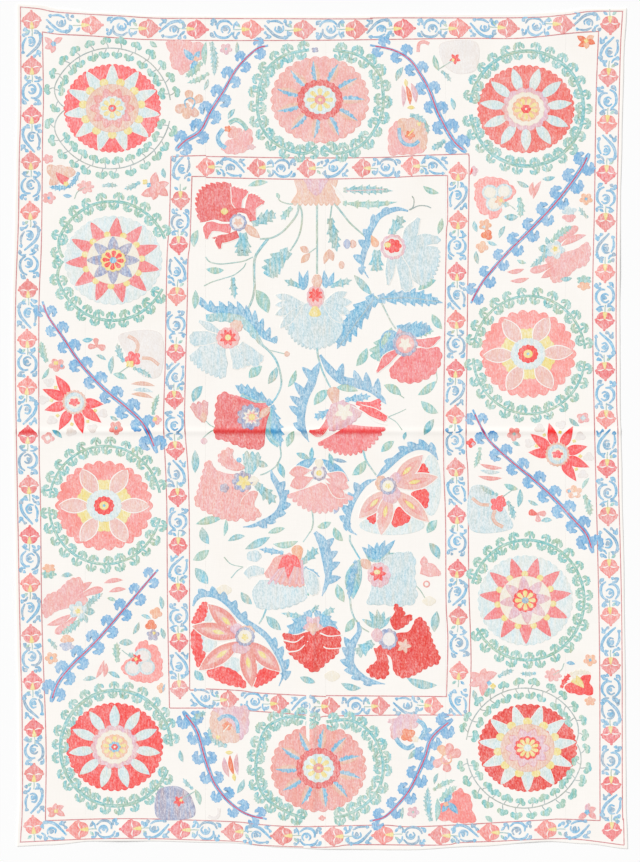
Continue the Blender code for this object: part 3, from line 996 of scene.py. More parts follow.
GARLAND_CURVES = (  # bud dye, then points of the stem
    ("garland_blue", (
        (309, 49.9), (283, 56), (264, 74), (257.3, 103.5), (262.9, 129.4), (279.5, 146), (303.5, 153.5),
            (317.4, 146))),
    ("garland_blue", (
        (333, 49.9), (359, 55.5), (377.5, 72), (383, 92.5), (380.3, 118.3), (362.7, 144.2), (336.8, 153.5),
            (323, 146))),
    ("garland_blue", (
        (318.6, 723.7), (304, 717.5), (287.8, 717), (266.7, 727.5), (257, 754.5), (257, 779.5),
            (266.7, 798.8),
        (287.8, 812.3), (305.2, 818))),
    ("garland_blue", (
        (326.4, 721.8), (347.5, 719.8), (364.9, 727.5), (378.3, 744.9), (383.2, 768), (378.3, 789.2),
        (364.9, 804.6), (347.5, 814.2), (334, 818))),
)
for *oval_arc, dye, stem_dye, width in GARLANDS:
    garland(arc(*oval_arc), dye, stem_dye, width, 0.98 if width < 2 else 0.92,
            spot(*oval_arc[:2]), 0.9 * oval_arc[2])
for dye, points in GARLAND_CURVES:
    garland(curve(spots(points), 60), dye, dye, 3.4)
print("garlands,", sum(piece.count for piece in threads.values()), "points so far")

# %% [markdown]
# ## Blue branches
# Eight thick branches cross the side grounds. Each is a tapering blue ribbon with a thin red line up its
# middle, and hooked three-lobed leaves stand on both sides of it.

# %% Branches
BRANCH_LEAF = curve(xy(
    (3.2, -1), (3.0, 2.2), (5.2, 2.6), (7.0, 4.6), (6.0, 6.6), (6.6, 9.0), (4.4, 10.4), (3.2, 12.4),
        (0.6, 11.8),
    (-1.8, 12.8), (-4.0, 11.0), (-6.6, 10.6), (-6.8, 7.8), (-8.4, 5.2), (-7.0, 1.8), (-5.6, 3.6), (-4.6, 5.6),
    (-2.6, 5.2), (-2.2, 2.0), (-3.0, -1),
), 46, closed=True)
BRANCH_LEAF_GAP, BRANCH_WIDTH = 20.5, 5.4
BRANCHES = {  # points from the thick end to the tip
    "top_left": ((175.6, 150.7), (185, 141), (200, 131.3), (211, 110.9), (224, 90.6), (237, 68.4),
        (255.5, 49.9),
                 (268, 45.5)),
    "top_right": ((466.2, 152.5), (453.3, 140.5), (438.5, 114), (429.3, 90.6), (420, 74), (409, 59.2),
                  (392.3, 49.9), (370, 45.3)),
    "right_upper": ((589.2, 153.4), (579, 172), (556.8, 201.5), (530.9, 229.3), (506.9, 253.3),
        (484.7, 279.2),
                    (475.5, 294), (470.8, 303.3)),
    "left_middle": ((157.1, 453), (144.2, 425.3), (125.7, 406.8), (103.5, 388.3), (81.3, 364.3), (61, 334.7),
                    (48, 316.2), (42.5, 301.4)),
    "right_middle": ((592.9, 552.9), (586.4, 534.4), (573.5, 519.6), (553, 497.4), (532.8, 478.9),
        (512.4, 462.3),
                     (490.3, 441.9), (481, 427.1), (472.7, 409.6)),
    "left_lower": ((51, 702), (57.8, 683.3), (71.3, 666), (96.3, 641), (123.3, 610), (146.4, 583),
        (158, 569.6)),
    "bottom_left": ((183, 711), (197, 731), (205, 758.3), (214.7, 783.4), (230, 802.6), (247.4, 814.2),
        (266.7, 819)),
    "bottom_right": ((452.5, 718.9), (432.3, 737.2), (424.6, 758.3), (411, 787.2), (397.6, 804.6), (384, 817),
                     (369.7, 821)),
}


def branch(points):
    """A ribbon from its round thick end to its tip, with leaves in staggered pairs."""
    line = curve(spots(points), 60)
    share = np.linspace(0, 1, 60)
    width = BRANCH_WIDTH / 2 * np.clip(1.25 - 0.85 * share, 0, 1) * np.clip(share * 25 + 0.3, 0, 1) ** 0.5
    ribbon("branch_blue", line, width, layer=0.6)
    ribbon("branch_red", line[2:58], 0.8, layer=1.2)
    run = along(line)
    count = max(1, round(run[-1] / BRANCH_LEAF_GAP))
    for number in range(count):
        for side in (-1, 1):
            where = (number + 0.36 + 0.22 * (side > 0)) * run[-1] / count
            root, heading = heading_at(line, where)
            outward = heading * np.exp(1j * side * math.radians(74 + rng.uniform(-6, 6)))
            turn = math.degrees(np.angle(outward)) - 90
            size = rng.uniform(0.92, 1.04) * (1 - 0.2 * where / run[-1])
            patch("branch_blue", put(BRANCH_LEAF, root + outward, turn, size, flip=side < 0), 0,
                  centre=put(np.array(6.4j), root + outward, turn, size))


for points in BRANCHES.values():
    branch(points)
print(len(BRANCHES), "branches")

# %% [markdown]
# ## The field
# The middle holds one large plant. Its stems rise from below and carry some fifteen flowers, seen from the
# side or from above. A side flower is a few broad frilled petals with a round calyx of lilac, a toothed
# leaf at its back, and often a thorny blue leaf curving round it. Small leaves fill what is left.

# %% Stems and small leaves
FIELD_STEMS = (  # dye, width, share of the width at the end, then (x, y) points
    ("stem_green", 2.2, 1.0, (317, 205), (317, 240), (317, 274)),
    ("stem_green", 2.4, 0.8, (299, 203), (297, 214), (290, 224), (281, 233), (271, 238), (260, 239)),
    ("leaf_teal", 3.0, 0.8, (268, 239), (260, 249), (255, 258), (254, 272), (254.5, 288), (252, 300),
        (248, 309)),
    ("stem_green", 1.6, 0.8, (300, 203), (290, 204), (282, 202), (278, 199)),
    ("stem_green", 2.2, 0.8, (299, 203), (302, 214), (301, 228), (297, 240), (290, 251)),
    ("stem_green", 1.6, 0.8, (205.5, 257), (210, 262), (220, 264), (232, 263), (244, 261), (253, 257)),
    ("stem_green", 1.4, 0.8, (204, 286), (212, 282), (225, 278), (234, 275), (243, 268), (246, 263)),
    ("stem_green", 1.4, 0.8, (309, 253), (316, 248)),
    ("stem_green", 1.6, 1.0, (332, 203), (331, 212), (330, 219)),
    ("stem_green", 2.2, 0.8, (334, 203), (342, 213), (350, 223), (360, 232), (367, 238)),
    ("leaf_teal", 2.0, 0.8, (372, 295), (380, 301), (386, 312), (391, 322), (396, 329)),
    ("leaf_teal", 2.6, 0.7, (262, 345), (268, 350), (274, 357), (278, 365), (281, 377), (281, 386),
        (277, 396),
     (271, 404)),
    ("stem_green", 1.2, 0.8, (268, 350), (277, 352), (285, 354)),
    ("leaf_teal", 2.2, 0.8, (317, 345), (318, 356), (322, 370), (327, 381), (332, 390)),
    ("stem_green", 1.4, 0.8, (384, 385), (394, 391), (404, 398)),
    ("stem_green", 1.1, 0.8, (388, 417), (400, 412), (406, 409)),
    ("stem_green", 1.2, 0.8, (388, 417), (396, 422), (402, 430)),
    ("stem_green", 1.2, 0.8, (436, 371), (437, 378), (436, 383)),
    ("stem_green", 1.8, 0.8, (280, 446), (281, 455), (279, 461), (275, 467), (266, 473), (260, 475)),
    ("stem_green", 1.2, 1.0, (206, 421), (210, 425), (216, 428)),
    ("stem_green", 1.2, 1.0, (216, 429), (210, 432), (204, 437), (202, 440)),
    ("leaf_teal", 2.2, 0.8, (363, 450), (366, 460), (371, 468), (376, 475)),
    ("stem_green", 1.6, 0.8, (312, 510), (313, 520), (312, 528), (308, 535), (303, 542)),
    ("leaf_teal", 2.2, 0.8, (350, 535), (350, 541), (354, 549), (360, 559)),
    ("stem_green", 1.3, 0.8, (231, 578), (237, 571), (243, 567)),
    ("stem_green", 1.3, 0.8, (224, 557), (231, 564), (243, 567)),
    ("leaf_teal", 2.2, 0.8, (267, 602), (266, 609), (263, 617), (259, 624)),
    ("stem_green", 1.5, 0.8, (414, 584), (420, 590), (425, 598)),
    ("leaf_teal", 2.2, 0.8, (350, 598), (351, 608), (353, 615), (356, 621)),
    ("stem_green", 1.8, 0.8, (356, 620), (361, 627), (369, 632)),
)
for dye, width, taper, *points in FIELD_STEMS:
    stroke(dye, 0.1, width, *points, taper=taper)

LEAVES = {  # the dye, then rows of base x, base y, tip x, tip y, width, teeth
    "leaf_green": (
        (279, 199, 276, 193, 4, 0), (292, 207, 281, 220, 9, 3), (206, 269, 224, 270, 7, 0),
            (198, 230, 194, 247, 8, 0),
        (195.5, 290, 194.5, 309, 7, 0), (268, 182, 248, 186, 6, 0), (256, 290, 268, 313, 13, 0),
        (342, 203, 397, 202, 10, 5), (423, 186, 439, 193, 6, 0), (442, 218, 438, 234, 6, 0),
        (436, 280, 418, 290, 8, 0), (249, 378, 262, 366, 10, 0), (296, 370, 288, 387, 6, 0),
            (384, 385, 401, 395, 9, 0),
        (436, 381, 418, 395, 8, 0), (421, 401, 438, 413, 9, 0), (367, 348, 356, 366, 9, 0),
            (432, 314, 442, 329, 8, 0),
        (287, 447, 294, 431, 8, 0), (329, 390, 314, 405, 10, 0), (336, 388, 358, 391, 8, 0),
            (366, 460, 352, 475, 9, 0),
        (394, 441, 381, 452, 8, 0), (222, 518, 196, 524, 8, 0), (226, 519, 224, 536, 4.5, 0),
            (285, 528, 268, 533, 6, 0),
        (298, 541, 273, 544, 7, 0), (209, 550, 193, 560, 9, 0), (331, 522, 317, 527, 7, 0),
            (334, 527, 343, 541, 8, 0),
        (437, 520, 427, 533, 9, 0), (337, 584, 344, 602, 9, 0), (354, 618, 345, 632, 8, 0),
            (303, 586, 309, 596, 5, 0),
    ),
    "leaf_teal": (
        (233, 277, 235, 299, 9, 3), (330, 218, 337, 252, 14, 4), (377, 250, 377, 272, 16, 3),
        (289, 251, 268, 277, 22, 5), (343, 190, 393, 191, 11, 7), (277, 367, 268, 384, 8, 0),
            (202.5, 386, 193, 402, 9, 0),
        (434, 419, 424, 435, 8, 0), (195, 450, 195, 473, 8, 0), (202, 527, 209, 544, 9, 0),
            (245, 536, 228, 541, 6, 0),
        (270, 537, 245, 549, 8, 0), (195, 568, 208, 584, 11, 0), (241, 592, 252, 604, 8, 0),
            (266, 616, 281, 630, 9, 0),
        (429, 543, 439, 559, 9, 0), (437, 611, 434, 632, 9, 0), (195, 670, 204, 680, 8, 0),
            (300, 677, 315, 682, 7, 0),
        (407, 678, 437, 685, 9, 0), (341, 683, 361, 688, 7, 0), (372, 295, 354, 275, 8, 0),
            (277, 462, 284, 478, 7, 0),
        (406, 432, 404, 440, 4, 0),
    ),
}
for dye, rows in LEAVES.items():
    for *ends, width, teeth in rows:
        leaf(dye, 0.5, *ends, width, teeth, bend=rng.uniform(-0.1, 0.1))

# %% Thorny blue leaves
THORNY = (  # (x, y) points, widths at even places, and the thorns' tips
    (((408, 211), (398, 209), (388, 211.5), (379, 216.5), (373, 225), (369, 233), (367.5, 243), (364, 252),
      (362.5, 262), (363, 269), (368.5, 278)), (2, 5, 6, 6.5, 6.5, 6, 3, 1),
     ((388, 207), (373, 214), (363, 229), (358, 240), (353, 255), (358, 268))),
    (((320, 362), (315, 372), (311, 384), (305, 396), (302, 408), (301, 420), (304, 432), (309, 442)),
     (2, 8, 9, 9, 9, 8, 6, 1), ((302, 367), (294, 382), (290, 396), (289, 406), (293, 423))),
    (((320, 355), (330, 370), (342, 380), (358, 384), (372, 390), (382, 399), (386, 404)),
        (3, 8, 9, 9, 7, 5, 1),
     ((343, 363), (354, 370), (366, 372), (378, 378))),
    (((271, 470), (273, 477), (277, 484), (281, 492), (283, 500), (281, 508), (276, 515), (268, 520),
        (260, 523),
      (252, 526), (243, 527)), (2, 6, 7, 7, 7, 6, 4, 1),
     ((285, 481), (289, 490), (291, 504), (286, 513), (276, 522), (267, 528))),
    (((377, 477), (384, 470), (392, 462), (400, 455), (408, 450), (417, 447), (427, 448), (434, 453),
        (438, 460)),
     (2, 6, 6.5, 6.5, 6.5, 6, 5, 1), ((384, 461), (398, 447), (407, 442), (419, 439), (431, 442))),
    (((376, 479), (368, 482), (362, 487), (357, 494), (352, 503), (349, 512), (348, 522), (350, 530),
        (357, 535)),
     (1, 5, 6, 6, 6, 5, 4, 1), ((354, 482), (348, 492), (341, 505), (339, 516), (343, 524))),
    (((315, 532), (321, 540), (325, 549), (327, 558), (328, 568), (328, 578), (325, 588), (322, 596)),
     (4, 9, 11, 11, 9, 6, 4, 1), ((334, 538), (338, 551), (340, 562), (341, 577))),
    (((193, 606), (196, 599), (201, 595), (209, 594), (217, 596), (224, 600), (231, 606), (236, 612),
        (241, 618),
      (248, 623), (256, 628), (264, 634), (270, 641), (276, 651), (281, 661), (284, 672), (279, 686)),
     (2, 5, 6, 6, 6.5, 7, 6, 6, 6, 6, 5.5, 5, 1),
     ((198, 589), (212, 586), (224, 591), (236, 600), (246, 611), (275, 637), (283, 646), (289, 659),
         (291, 671))),
    (((358, 622), (359, 632), (353, 643), (350, 655), (351, 665), (358, 674), (369, 681), (385, 684)),
     (3, 5, 7.5, 9, 8, 7, 6, 1), ((344, 637), (342, 647), (340, 660), (344, 670), (351, 678), (363, 684))),
)
for line, widths, tips in THORNY:
    barbed("arc_blue", line, widths, tips)
for points in (((409, 210), (413, 207), (414, 200), (412, 196)), ((410, 210), (418, 206), (426, 206),
    (431, 208))):
    stroke("stem_grey", 0, 1.3, *points)
print(len(FIELD_STEMS), "stems,", sum(len(rows) for rows in LEAVES.values()), "small leaves,", len(THORNY),
    "thorny ones")


# %% Red flowers seen from the side
def body(dye, layer, lobes, root, *points):
    """The broad part of a flower: a smooth outline with scallops on the side away from its root."""
    patch(dye, lobed(curve(spots(points), 6 * lobes, closed=True), lobes, 2.1, spot(*root)), layer)


def calyx(x, y, radius, ring, inside, heart, lobes):
    """A scalloped ring round a pale spot, with a small star in it."""
    button(ring, 3, x, y, radius, radius, lobes, 0.1)
    button(inside, 3.6, x, y, radius * 0.72)
    star(heart, 4.2, x, y, radius * 0.55, 5, 0.55)


def top_left_red():
    frill("field_red", 1, (236, 216, 14), (226, 211, 24), (215, 202.5, 50), lobes=11, bulge=18, depth=3.2)
    frill("salmon", 2, (241, 212, 3), (237, 201, 11), (240, 189, 18), lobes=4, halo=0.9)
    frill("salmon", 2, (253, 221, 7), (250.5, 208, 11), (256, 198, 17), lobes=5, bulge=2, halo=0.9)
    stroke("salmon", 2, 4, (250, 206), (256, 200), (264, 203))
    stroke("field_red", 2.2, 5, (228, 216), (236, 210.5), (246, 211.5), (252, 218))
    frill("salmon", 1.6, (231, 229, 10), (219, 227.5, 8), (209, 227, 11), (206.5, 239, 3), halo=0.8)
    frill("field_red", 1.8, (238, 234, 8), (228, 238, 8), (219, 240, 9), (220, 249, 3), halo=0.8)
    leaf("field_red", 1.7, 228, 238, 212, 238, 4)
    leaf("peach", 1, 243, 224, 260, 238, 9)
    button("yellow", 2.5, 224.5, 211.5, 4, 3.5, 4)
    calyx(238, 222.5, 9, "lilac", "dove", "peach", 9)
    leaf("leaf_teal", 0.5, 252, 224, 276, 213, 15, 4)
    leaf("leaf_teal", 0.5, 243, 233, 243, 256, 18, 4)


def right_red():
    leaf("leaf_green", 0.8, 397, 333, 434, 331, 13, 6)
    leaf("sky", 1.1, 397, 329, 432, 329, 17, 6, sides="left")
    leaf("leaf_green", 0.8, 395, 331, 377, 361, 27, 4)
    leaf("sky", 1.1, 395, 331, 380, 357, 19, kind="flame")
    body("salmon", 1.4, 15, (406, 346), (399, 358), (390, 372), (397, 379), (408, 382), (421, 380),
        (432, 374), (439, 364),
         (440, 351), (432, 348), (420, 348), (411, 350))
    frill("salmon", 2.2, (415, 342, 6), (428, 343, 10), (440, 337, 3), bulge=1, halo=0.8)
    frill("salmon", 2.2, (400, 350, 5), (388, 358, 10), (377, 372, 3), bulge=1, halo=0.8)
    leaf("mauve", 2.4, 402, 345, 399, 328, 12, kind="flame")
    calyx(405, 344, 13, "lilac", "pink", "cream", 11)


def left_red():
    leaf("sky", 0.8, 272, 405, 235, 385, 16, 5, sides="right")
    stroke("leaf_teal", 1, 5, (241, 395), (252, 400), (265, 404))
    leaf("sky", 0.8, 271, 405, 281, 447, 15, 5, sides="left")
    stroke("leaf_teal", 1.1, 6, (270, 408), (269, 420), (268, 432), (272, 440), (279, 445))
    body("field_red", 1.4, 22, (258, 414), (222, 393.5), (236, 397), (250, 402), (267, 405), (267, 420),
        (264, 434),
         (262, 447), (250, 448), (238, 445), (227, 440), (216, 436), (216, 420), (217, 405))
    stroke("salmon", 2.2, 3.4, (235, 396.5), (247, 401), (256, 404.5), (266, 404.5))
    stroke("field_red", 2.6, 5, (268, 411), (265, 420), (263, 432), (262, 444))
    button("lilac", 3, 249.5, 417, 13, 13.5, 9, 0.2)
    star("cream", 3.6, 251, 417, 9, 9, 0.6)
    star("pink", 4.2, 252, 417, 6.5, 9, 0.6)
    leaf("peach", 3.4, 270, 407, 259, 418, 8)
    button("yellow", 5, 252, 417, 3.5)


def centre_red():
    leaf("sky", 0.8, 345, 400, 371, 396, 10, 4)
    leaf("sky", 0.8, 330, 411, 314, 418, 10, 3)
    leaf("peach", 1, 336, 405, 332, 387, 13, kind="club")
    frill("light_red", 1.4, (356, 403, 4), (367, 405, 6), (380, 405, 13), lobes=3)
    frill("light_red", 1.8, (360, 407, 5), (374, 413, 9), (386, 419, 7), lobes=2, halo=0.9)
    fan("salmon", spot(348, 420), -77, 66, 36, 15, 0.08, 2.2)
    frill("salmon", 2.4, (328, 420, 5), (325, 427, 7), (319, 433, 8), (309, 431, 3), halo=0.8)
    stroke("cotton_white", 3, 1.5, (352, 406), (365, 413), (374, 421), (387, 425))
    frill("mauve", 2.8, (337, 402, 14), (341, 413, 32), (346, 422, 38), lobes=6, bulge=4)
    star("cream", 3.6, 344, 412, 10, 5, 0.5)


def lower_reds():
    """The two red flowers low in the field."""
    leaf("sky", 0.8, 312, 612, 288, 634, 18, 3, sides="right")
    leaf("sky", 0.8, 314, 612, 338, 629, 14, 3, sides="left")
    leaf("leaf_teal", 0.5, 311, 612, 319, 605, 6, 2)
    leaf("leaf_teal", 0.5, 319, 617, 335, 608, 9, 3)
    leaf("leaf_teal", 0.5, 308, 618, 281, 613, 8, 3)
    body("strong_red", 1.4, 24, (313, 628), (306, 632), (296, 635), (284, 634), (286, 644), (291, 654),
        (301, 662), (314, 671),
         (326, 662), (336, 654), (340, 644), (339, 632), (330, 626), (320, 629))
    for points in (((283, 640), (295, 642), (304, 636)), ((287, 652), (299, 650), (308, 641)),
        ((319, 640), (326, 648), (341, 648)),
                   ((320, 633), (329, 636), (342, 635))):
        stroke("cotton_white", 2.3, 2, *points, taper=0.6)
    star("mauve", 3, 313, 625, 11, 5, 0.55)
    star("peach", 3.6, 313, 628, 7, 5, 0.6)
    body("strong_red", 1.4, 30, (388, 642), (395, 634), (409, 631), (418, 618), (427, 626), (432, 642),
        (439, 660), (428, 666),
         (412, 675), (402, 677), (394, 671), (391, 658), (384, 653), (376, 649))
    body("strong_red", 1.7, 14, (384, 642), (374, 648), (377, 660), (368, 670), (375, 677), (386, 676),
        (388, 664), (386, 654))
    body("strong_red", 1.7, 14, (384, 628), (390, 620), (395, 613), (395, 605), (403, 611), (404, 618),
        (412, 616), (405, 625),
         (395, 630))
    button("lilac", 3, 388, 639, 10, 11, 9)
    button("dove", 3.6, 389, 639, 6.5, 7)
    button("mauve", 3.2, 377, 635, 6, 7, 4)
    star("peach", 3.2, 404, 646, 8, 5, 0.45, start=180)
    for tip_x, tip_y, width in ((362, 619, 6), (369, 611, 6), (377, 609, 6), (384, 611, 6), (391, 616, 5)):
        leaf("leaf_teal", 1.2, 380, 629, tip_x, tip_y, width)
    leaf("leaf_teal", 1, 373, 642, 356, 654, 15, 3)


for flower in (top_left_red, right_red, left_red, centre_red, lower_reds):
    flower()


# %% Pale flowers seen from the side
def top_pale():
    """The peach flower at the top and the small hearts below it."""
    frill("peach_fan", 1, (316, 180, 44), (316, 190, 38), (316, 203, 50), lobes=9, depth=3)
    frill("mauve", 2, (316, 179, 26), (316, 188, 18), (317, 194, 9), bulge=2)
    leaf("cotton_white", 2, 331, 184, 345, 200, 3)
    stroke("mauve", 1.4, 1.0, (346, 191), (384, 189.5))
    leaf("peach", 0.5, 310, 253, 301, 263, 7)
    leaf("peach", 0.5, 309, 252, 300, 247, 7)
    leaf("peach", 0.5, 329, 249, 324, 264, 6)
    leaf("peach", 0.5, 329, 249, 333, 261, 7)
    button("lilac_pale", 0.5, 347, 244, 4, 5, 4)
    button("peach", 0.5, 353, 244, 3.5, 4.5, 3)
    button("peach", 0.5, 341.5, 265, 3, 4)


def right_pale():
    leaf("leaf_teal", 0.5, 390, 235, 403, 216, 14, 3)
    frill("petal_blue", 1.3, (403, 246, 6), (411, 232, 14), (419, 218, 4), halo=0.9)
    frill("petal_blue", 1.2, (406, 248, 8), (424, 240, 13), (438, 240, 8), bulge=3)
    frill("petal_blue", 1.0, (402, 252, 14), (418, 262, 36), (430, 267, 42), lobes=9, bulge=6, depth=3)
    frill("petal_blue", 1.5, (398, 257, 8), (404, 272, 12), (407, 288, 12), lobes=2, bulge=3, halo=0.9)
    frill("petal_blue", 1.3, (392, 258, 10), (390, 270, 9), (388, 285, 3), halo=0.7)
    button("mauve", 2.4, 393, 247, 13, 13, 11, 0.08)
    button("dove", 3, 393, 247, 10)
    button("bright_red", 3.4, 393, 246, 9, 7.5, 7, 0.2)
    button("yellow", 4, 387.5, 245, 3.6, 2.8)
    leaf("orange", 1, 377, 247, 371, 235, 8, kind="flame")


def centre_pale():
    for count, (tip_x, tip_y, width) in enumerate(((275, 295, 8), (275, 305, 8), (275, 315, 9),
        (280, 328, 9))):
        leaf("petal_blue", 1.5 + 0.25 * count, 305, 303, tip_x, tip_y, width, kind="sickle", halo=0.6)
    frill("petal_blue", 1, (315, 303, 16), (314, 314, 52), (312, 326, 62), (309, 334, 54), lobes=12,
        bulge=13, depth=2.4)
    for count, (tip_x, tip_y, width) in enumerate(((347, 292, 9), (352, 302, 10), (350, 313, 10),
        (343, 323, 9))):
        leaf("petal_blue", 1.5 + 0.25 * count, 322, 303, tip_x, tip_y, width, kind="sickle", halo=0.6)
    for x, y, tip_x, tip_y, width in ((303, 290, 299, 271, 6), (303, 290, 308, 270, 7),
        (326, 288, 324, 270, 7),
                                      (329, 286, 334, 272, 6)):
        leaf("sky", 1, x, y, tip_x, tip_y, width, kind="flame")
    leaf("leaf_teal", 0.5, 302, 287, 284, 280, 9, 2)
    leaf("leaf_teal", 0.5, 330, 286, 352, 280, 10, 3)
    button("mauve", 2.4, 315.5, 297, 9, 12, 11, 0.06)
    button("pink", 2.9, 315.5, 297, 7.4, 10)
    star("bright_red", 3.4, 315.5, 295, 7.6, 8, 0.6)
    leaf("yellow", 3, 315, 306, 315, 317, 13, kind="club")
    button("peach", 2.6, 317, 281, 5.5, 7, 6)


def left_pale():
    frill("leaf_teal", 0.8, (206, 318, 7), (222, 317, 9), (240, 320, 9), (252, 331, 8), (263, 346, 3),
        sides=(0, 7))
    barbed("sky", ((199, 303), (212, 309), (226, 310), (242, 313), (255, 324), (264, 335), (275, 343)),
           (3, 7, 8, 9, 8, 7, 2), ((200, 297), (210, 300), (219, 301), (228, 301), (237, 301), (246, 305),
               (255, 310),
                                   (263, 318), (270, 327), (277, 336), (213, 317), (222, 318), (232, 320)),
                                       barb=7)
    frill("petal_blue", 1.3, (219, 332, 4), (208, 326, 8), (199, 321, 3))
    frill("petal_blue", 1.5, (217, 338, 8), (205, 338, 14), (193, 339, 15), lobes=2, bulge=3, halo=0.8)
    frill("petal_blue", 1, (221, 346, 12), (213, 357, 34), (207, 367, 42), lobes=8, bulge=4, depth=2.6)
    frill("petal_blue", 1.6, (232, 346, 8), (240, 357, 17), (243, 366, 21), lobes=3, bulge=1, halo=0.8)
    frill("petal_blue", 1.9, (240, 344, 8), (250, 354, 13), (259, 362, 15), lobes=2, bulge=1, halo=0.8)
    button("peach", 1.8, 236.5, 326, 7, 6.5, 7)
    button("pink", 2.6, 228, 338, 12, 11, 10, 0.08)
    star("bright_red", 3.3, 228, 337.5, 9, 8, 0.6)
    button("yellow", 4, 228, 337.5, 3.2)
    button("peach", 0.5, 287, 354, 3, 3, 3)


def upper_right_leaves():
    """Two long serrated blue leaves."""
    leaf("sky", 0.8, 378, 299, 443, 303, 19, 7, bend=0.06)
    leaf("sky", 0.8, 376, 297, 337, 349, 25, 6, bend=-0.06)
    stroke("stem_grey", 1.4, 0.9, (380, 299), (410, 298), (438, 302))
    stroke("stem_grey", 1.4, 0.9, (374, 299), (357, 322), (340, 345))


def low_pale():
    """The two pale blue flowers low in the field, the left with a striped calyx."""
    frill("petal_blue", 1, (280, 580, 42), (280, 592, 56), (282, 603, 52), lobes=7, bulge=5)
    frill("petal_blue", 1.5, (303, 570, 6), (311, 580, 14), (314, 592, 12), lobes=2, bulge=2, halo=0.8)
    frill("petal_blue", 1.5, (264, 571, 6), (252, 571, 11), (246, 576, 8), halo=0.8)
    button("petal_blue", 1, 254, 556, 8, 6, 5)
    frill("blush", 2.4, (295, 556, 14), (288, 567, 34), (284, 580, 42), lobes=8, bulge=4, depth=2)
    for shift in (-16, -10, -4, 3, 9, 15):
        stroke("mauve", 3, 3, (294 + shift * 0.5, 560), (286 + shift * 1.1, 584))
    for tip_x, tip_y in ((278, 569), (288, 579), (301, 568)):
        leaf("light_red", 3.6, 290, 556, tip_x, tip_y, 10, kind="flame")
    leaf("orange", 2.6, 298, 563, 297, 545, 12, kind="club")
    leaf("sky", 0.5, 284, 553, 259, 549, 8, 3)
    leaf("sky", 0.5, 304, 567, 320, 577, 7, 3)
    leaf("leaf_teal", 0.5, 302, 563, 318, 548, 12, 3)
    leaf("leaf_teal", 0.8, 360, 559, 353, 599, 17, bend=-0.08)
    leaf("sky", 1, 357, 560, 349, 599, 11, 6, bend=-0.04, sides="right")
    for tip_x, tip_y in ((362, 547), (368, 544), (377, 542), (385, 540), (395, 540)):
        leaf("sky", 1.2, 377, 560, tip_x, tip_y, 6.5)
    for tip_x, tip_y in ((390, 549), (397, 553), (365, 553)):
        leaf("leaf_teal", 1, 379, 562, tip_x, tip_y, 8)
    body("petal_blue", 1, 16, (380, 575), (384, 557), (400, 553), (413, 556), (414, 578), (415, 600),
        (400, 605), (384, 604),
         (368, 603), (371, 590), (373, 572))
    button("mauve", 2.4, 379, 575, 12, 13, 9, 0.1)
    star("bright_red", 3.2, 378, 573.5, 8.5, 6, 0.55)
    button("yellow", 4, 377, 572, 3.5, 2.6)
    leaf("peach", 2.6, 371, 569, 361, 559, 10)
    frill("pink", 1, (421, 568, 12), (430, 570, 14), (440, 574, 5), lobes=2)
    leaf("pink", 1.1, 424, 568, 424, 556, 8)
    button("blush", 1, 426.5, 584, 3.6)
    button("cotton_white", 1.5, 426.5, 584, 2.2)


for flower in (top_pale, right_pale, centre_pale, left_pale, upper_right_leaves, low_pale):
    flower()


# %% Pink flowers
def coral_flower():
    frill("leaf_teal", 0.8, (249, 474, 8), (251, 463, 15), (252, 455, 19), lobes=3, depth=4)
    leaf("leaf_teal", 0.5, 255, 462, 268, 466, 7)
    leaf("leaf_teal", 0.8, 256, 484, 276, 503, 15, 3)
    body("coral", 1.6, 14, (243, 470), (231, 449), (233, 458), (245, 467), (237, 471), (227, 468),
        (219, 459), (223, 452))
    body("coral", 1.0, 26, (242, 484), (208, 461), (216, 470), (231, 474), (243, 474), (250, 488),
        (241, 500), (239, 519),
         (223, 518), (209, 512), (196, 503), (199, 490), (203, 475))
    body("coral", 1.6, 12, (251, 490), (243, 498), (251, 491), (258, 493), (254, 505), (260, 514),
        (250, 520), (242, 517),
         (241, 507))
    button("lilac", 2.2, 224.5, 488, 5, 5, 5, 0.2)
    button("lilac", 2.6, 242.5, 481.5, 11, 11, 8, 0.22)
    star("yellow", 3.5, 243.5, 482, 8, 5, 0.5)
    leaf("cream", 2.7, 247, 481, 259, 480, 10)
    button("sky", 2.4, 239, 460, 2.6)
    frill("tulip", 1, (204, 422, 5), (201, 412, 14), (199, 404, 19), lobes=3, depth=3)
    leaf("peach", 1.8, 204, 423, 203, 412, 7)
    button("mauve", 0.5, 204, 441, 3.5, 3.5, 4)


def centre_pink():
    leaf("sky", 0.5, 316, 458, 291, 473, 10)
    leaf("sky", 0.5, 322, 459, 349, 481, 11)
    leaf("leaf_teal", 0.5, 310, 459, 296, 453, 6)
    leaf("leaf_teal", 0.5, 311, 461, 312, 447, 5)
    leaf("leaf_teal", 0.5, 333, 465, 329, 453, 5)
    leaf("scroll_grey", 0.5, 332, 459, 347, 462, 4)
    fan("pink", spot(321, 478), -92, 62, 36, 13, 0.08, 1)
    for x, y, tip_x, tip_y, width in ((313, 470, 289, 473, 12), (315, 477, 290, 486, 14),
        (325, 473, 348, 481, 13),
                                      (324, 478, 349, 488, 12), (325, 482, 345, 498, 11)):
        leaf("pink", 1.6, x, y, tip_x, tip_y, width, halo=0.8, kind="sickle")
    button("lilac", 2.4, 319, 473, 8, 8, 8)
    button("dove", 3, 319, 473, 5.4)
    button("yellow", 3.5, 319, 473, 3)
    leaf("cream", 3, 319, 469, 319, 459, 9, kind="club")
    leaf("lilac_pale", 0.5, 339, 505, 334, 514, 5)


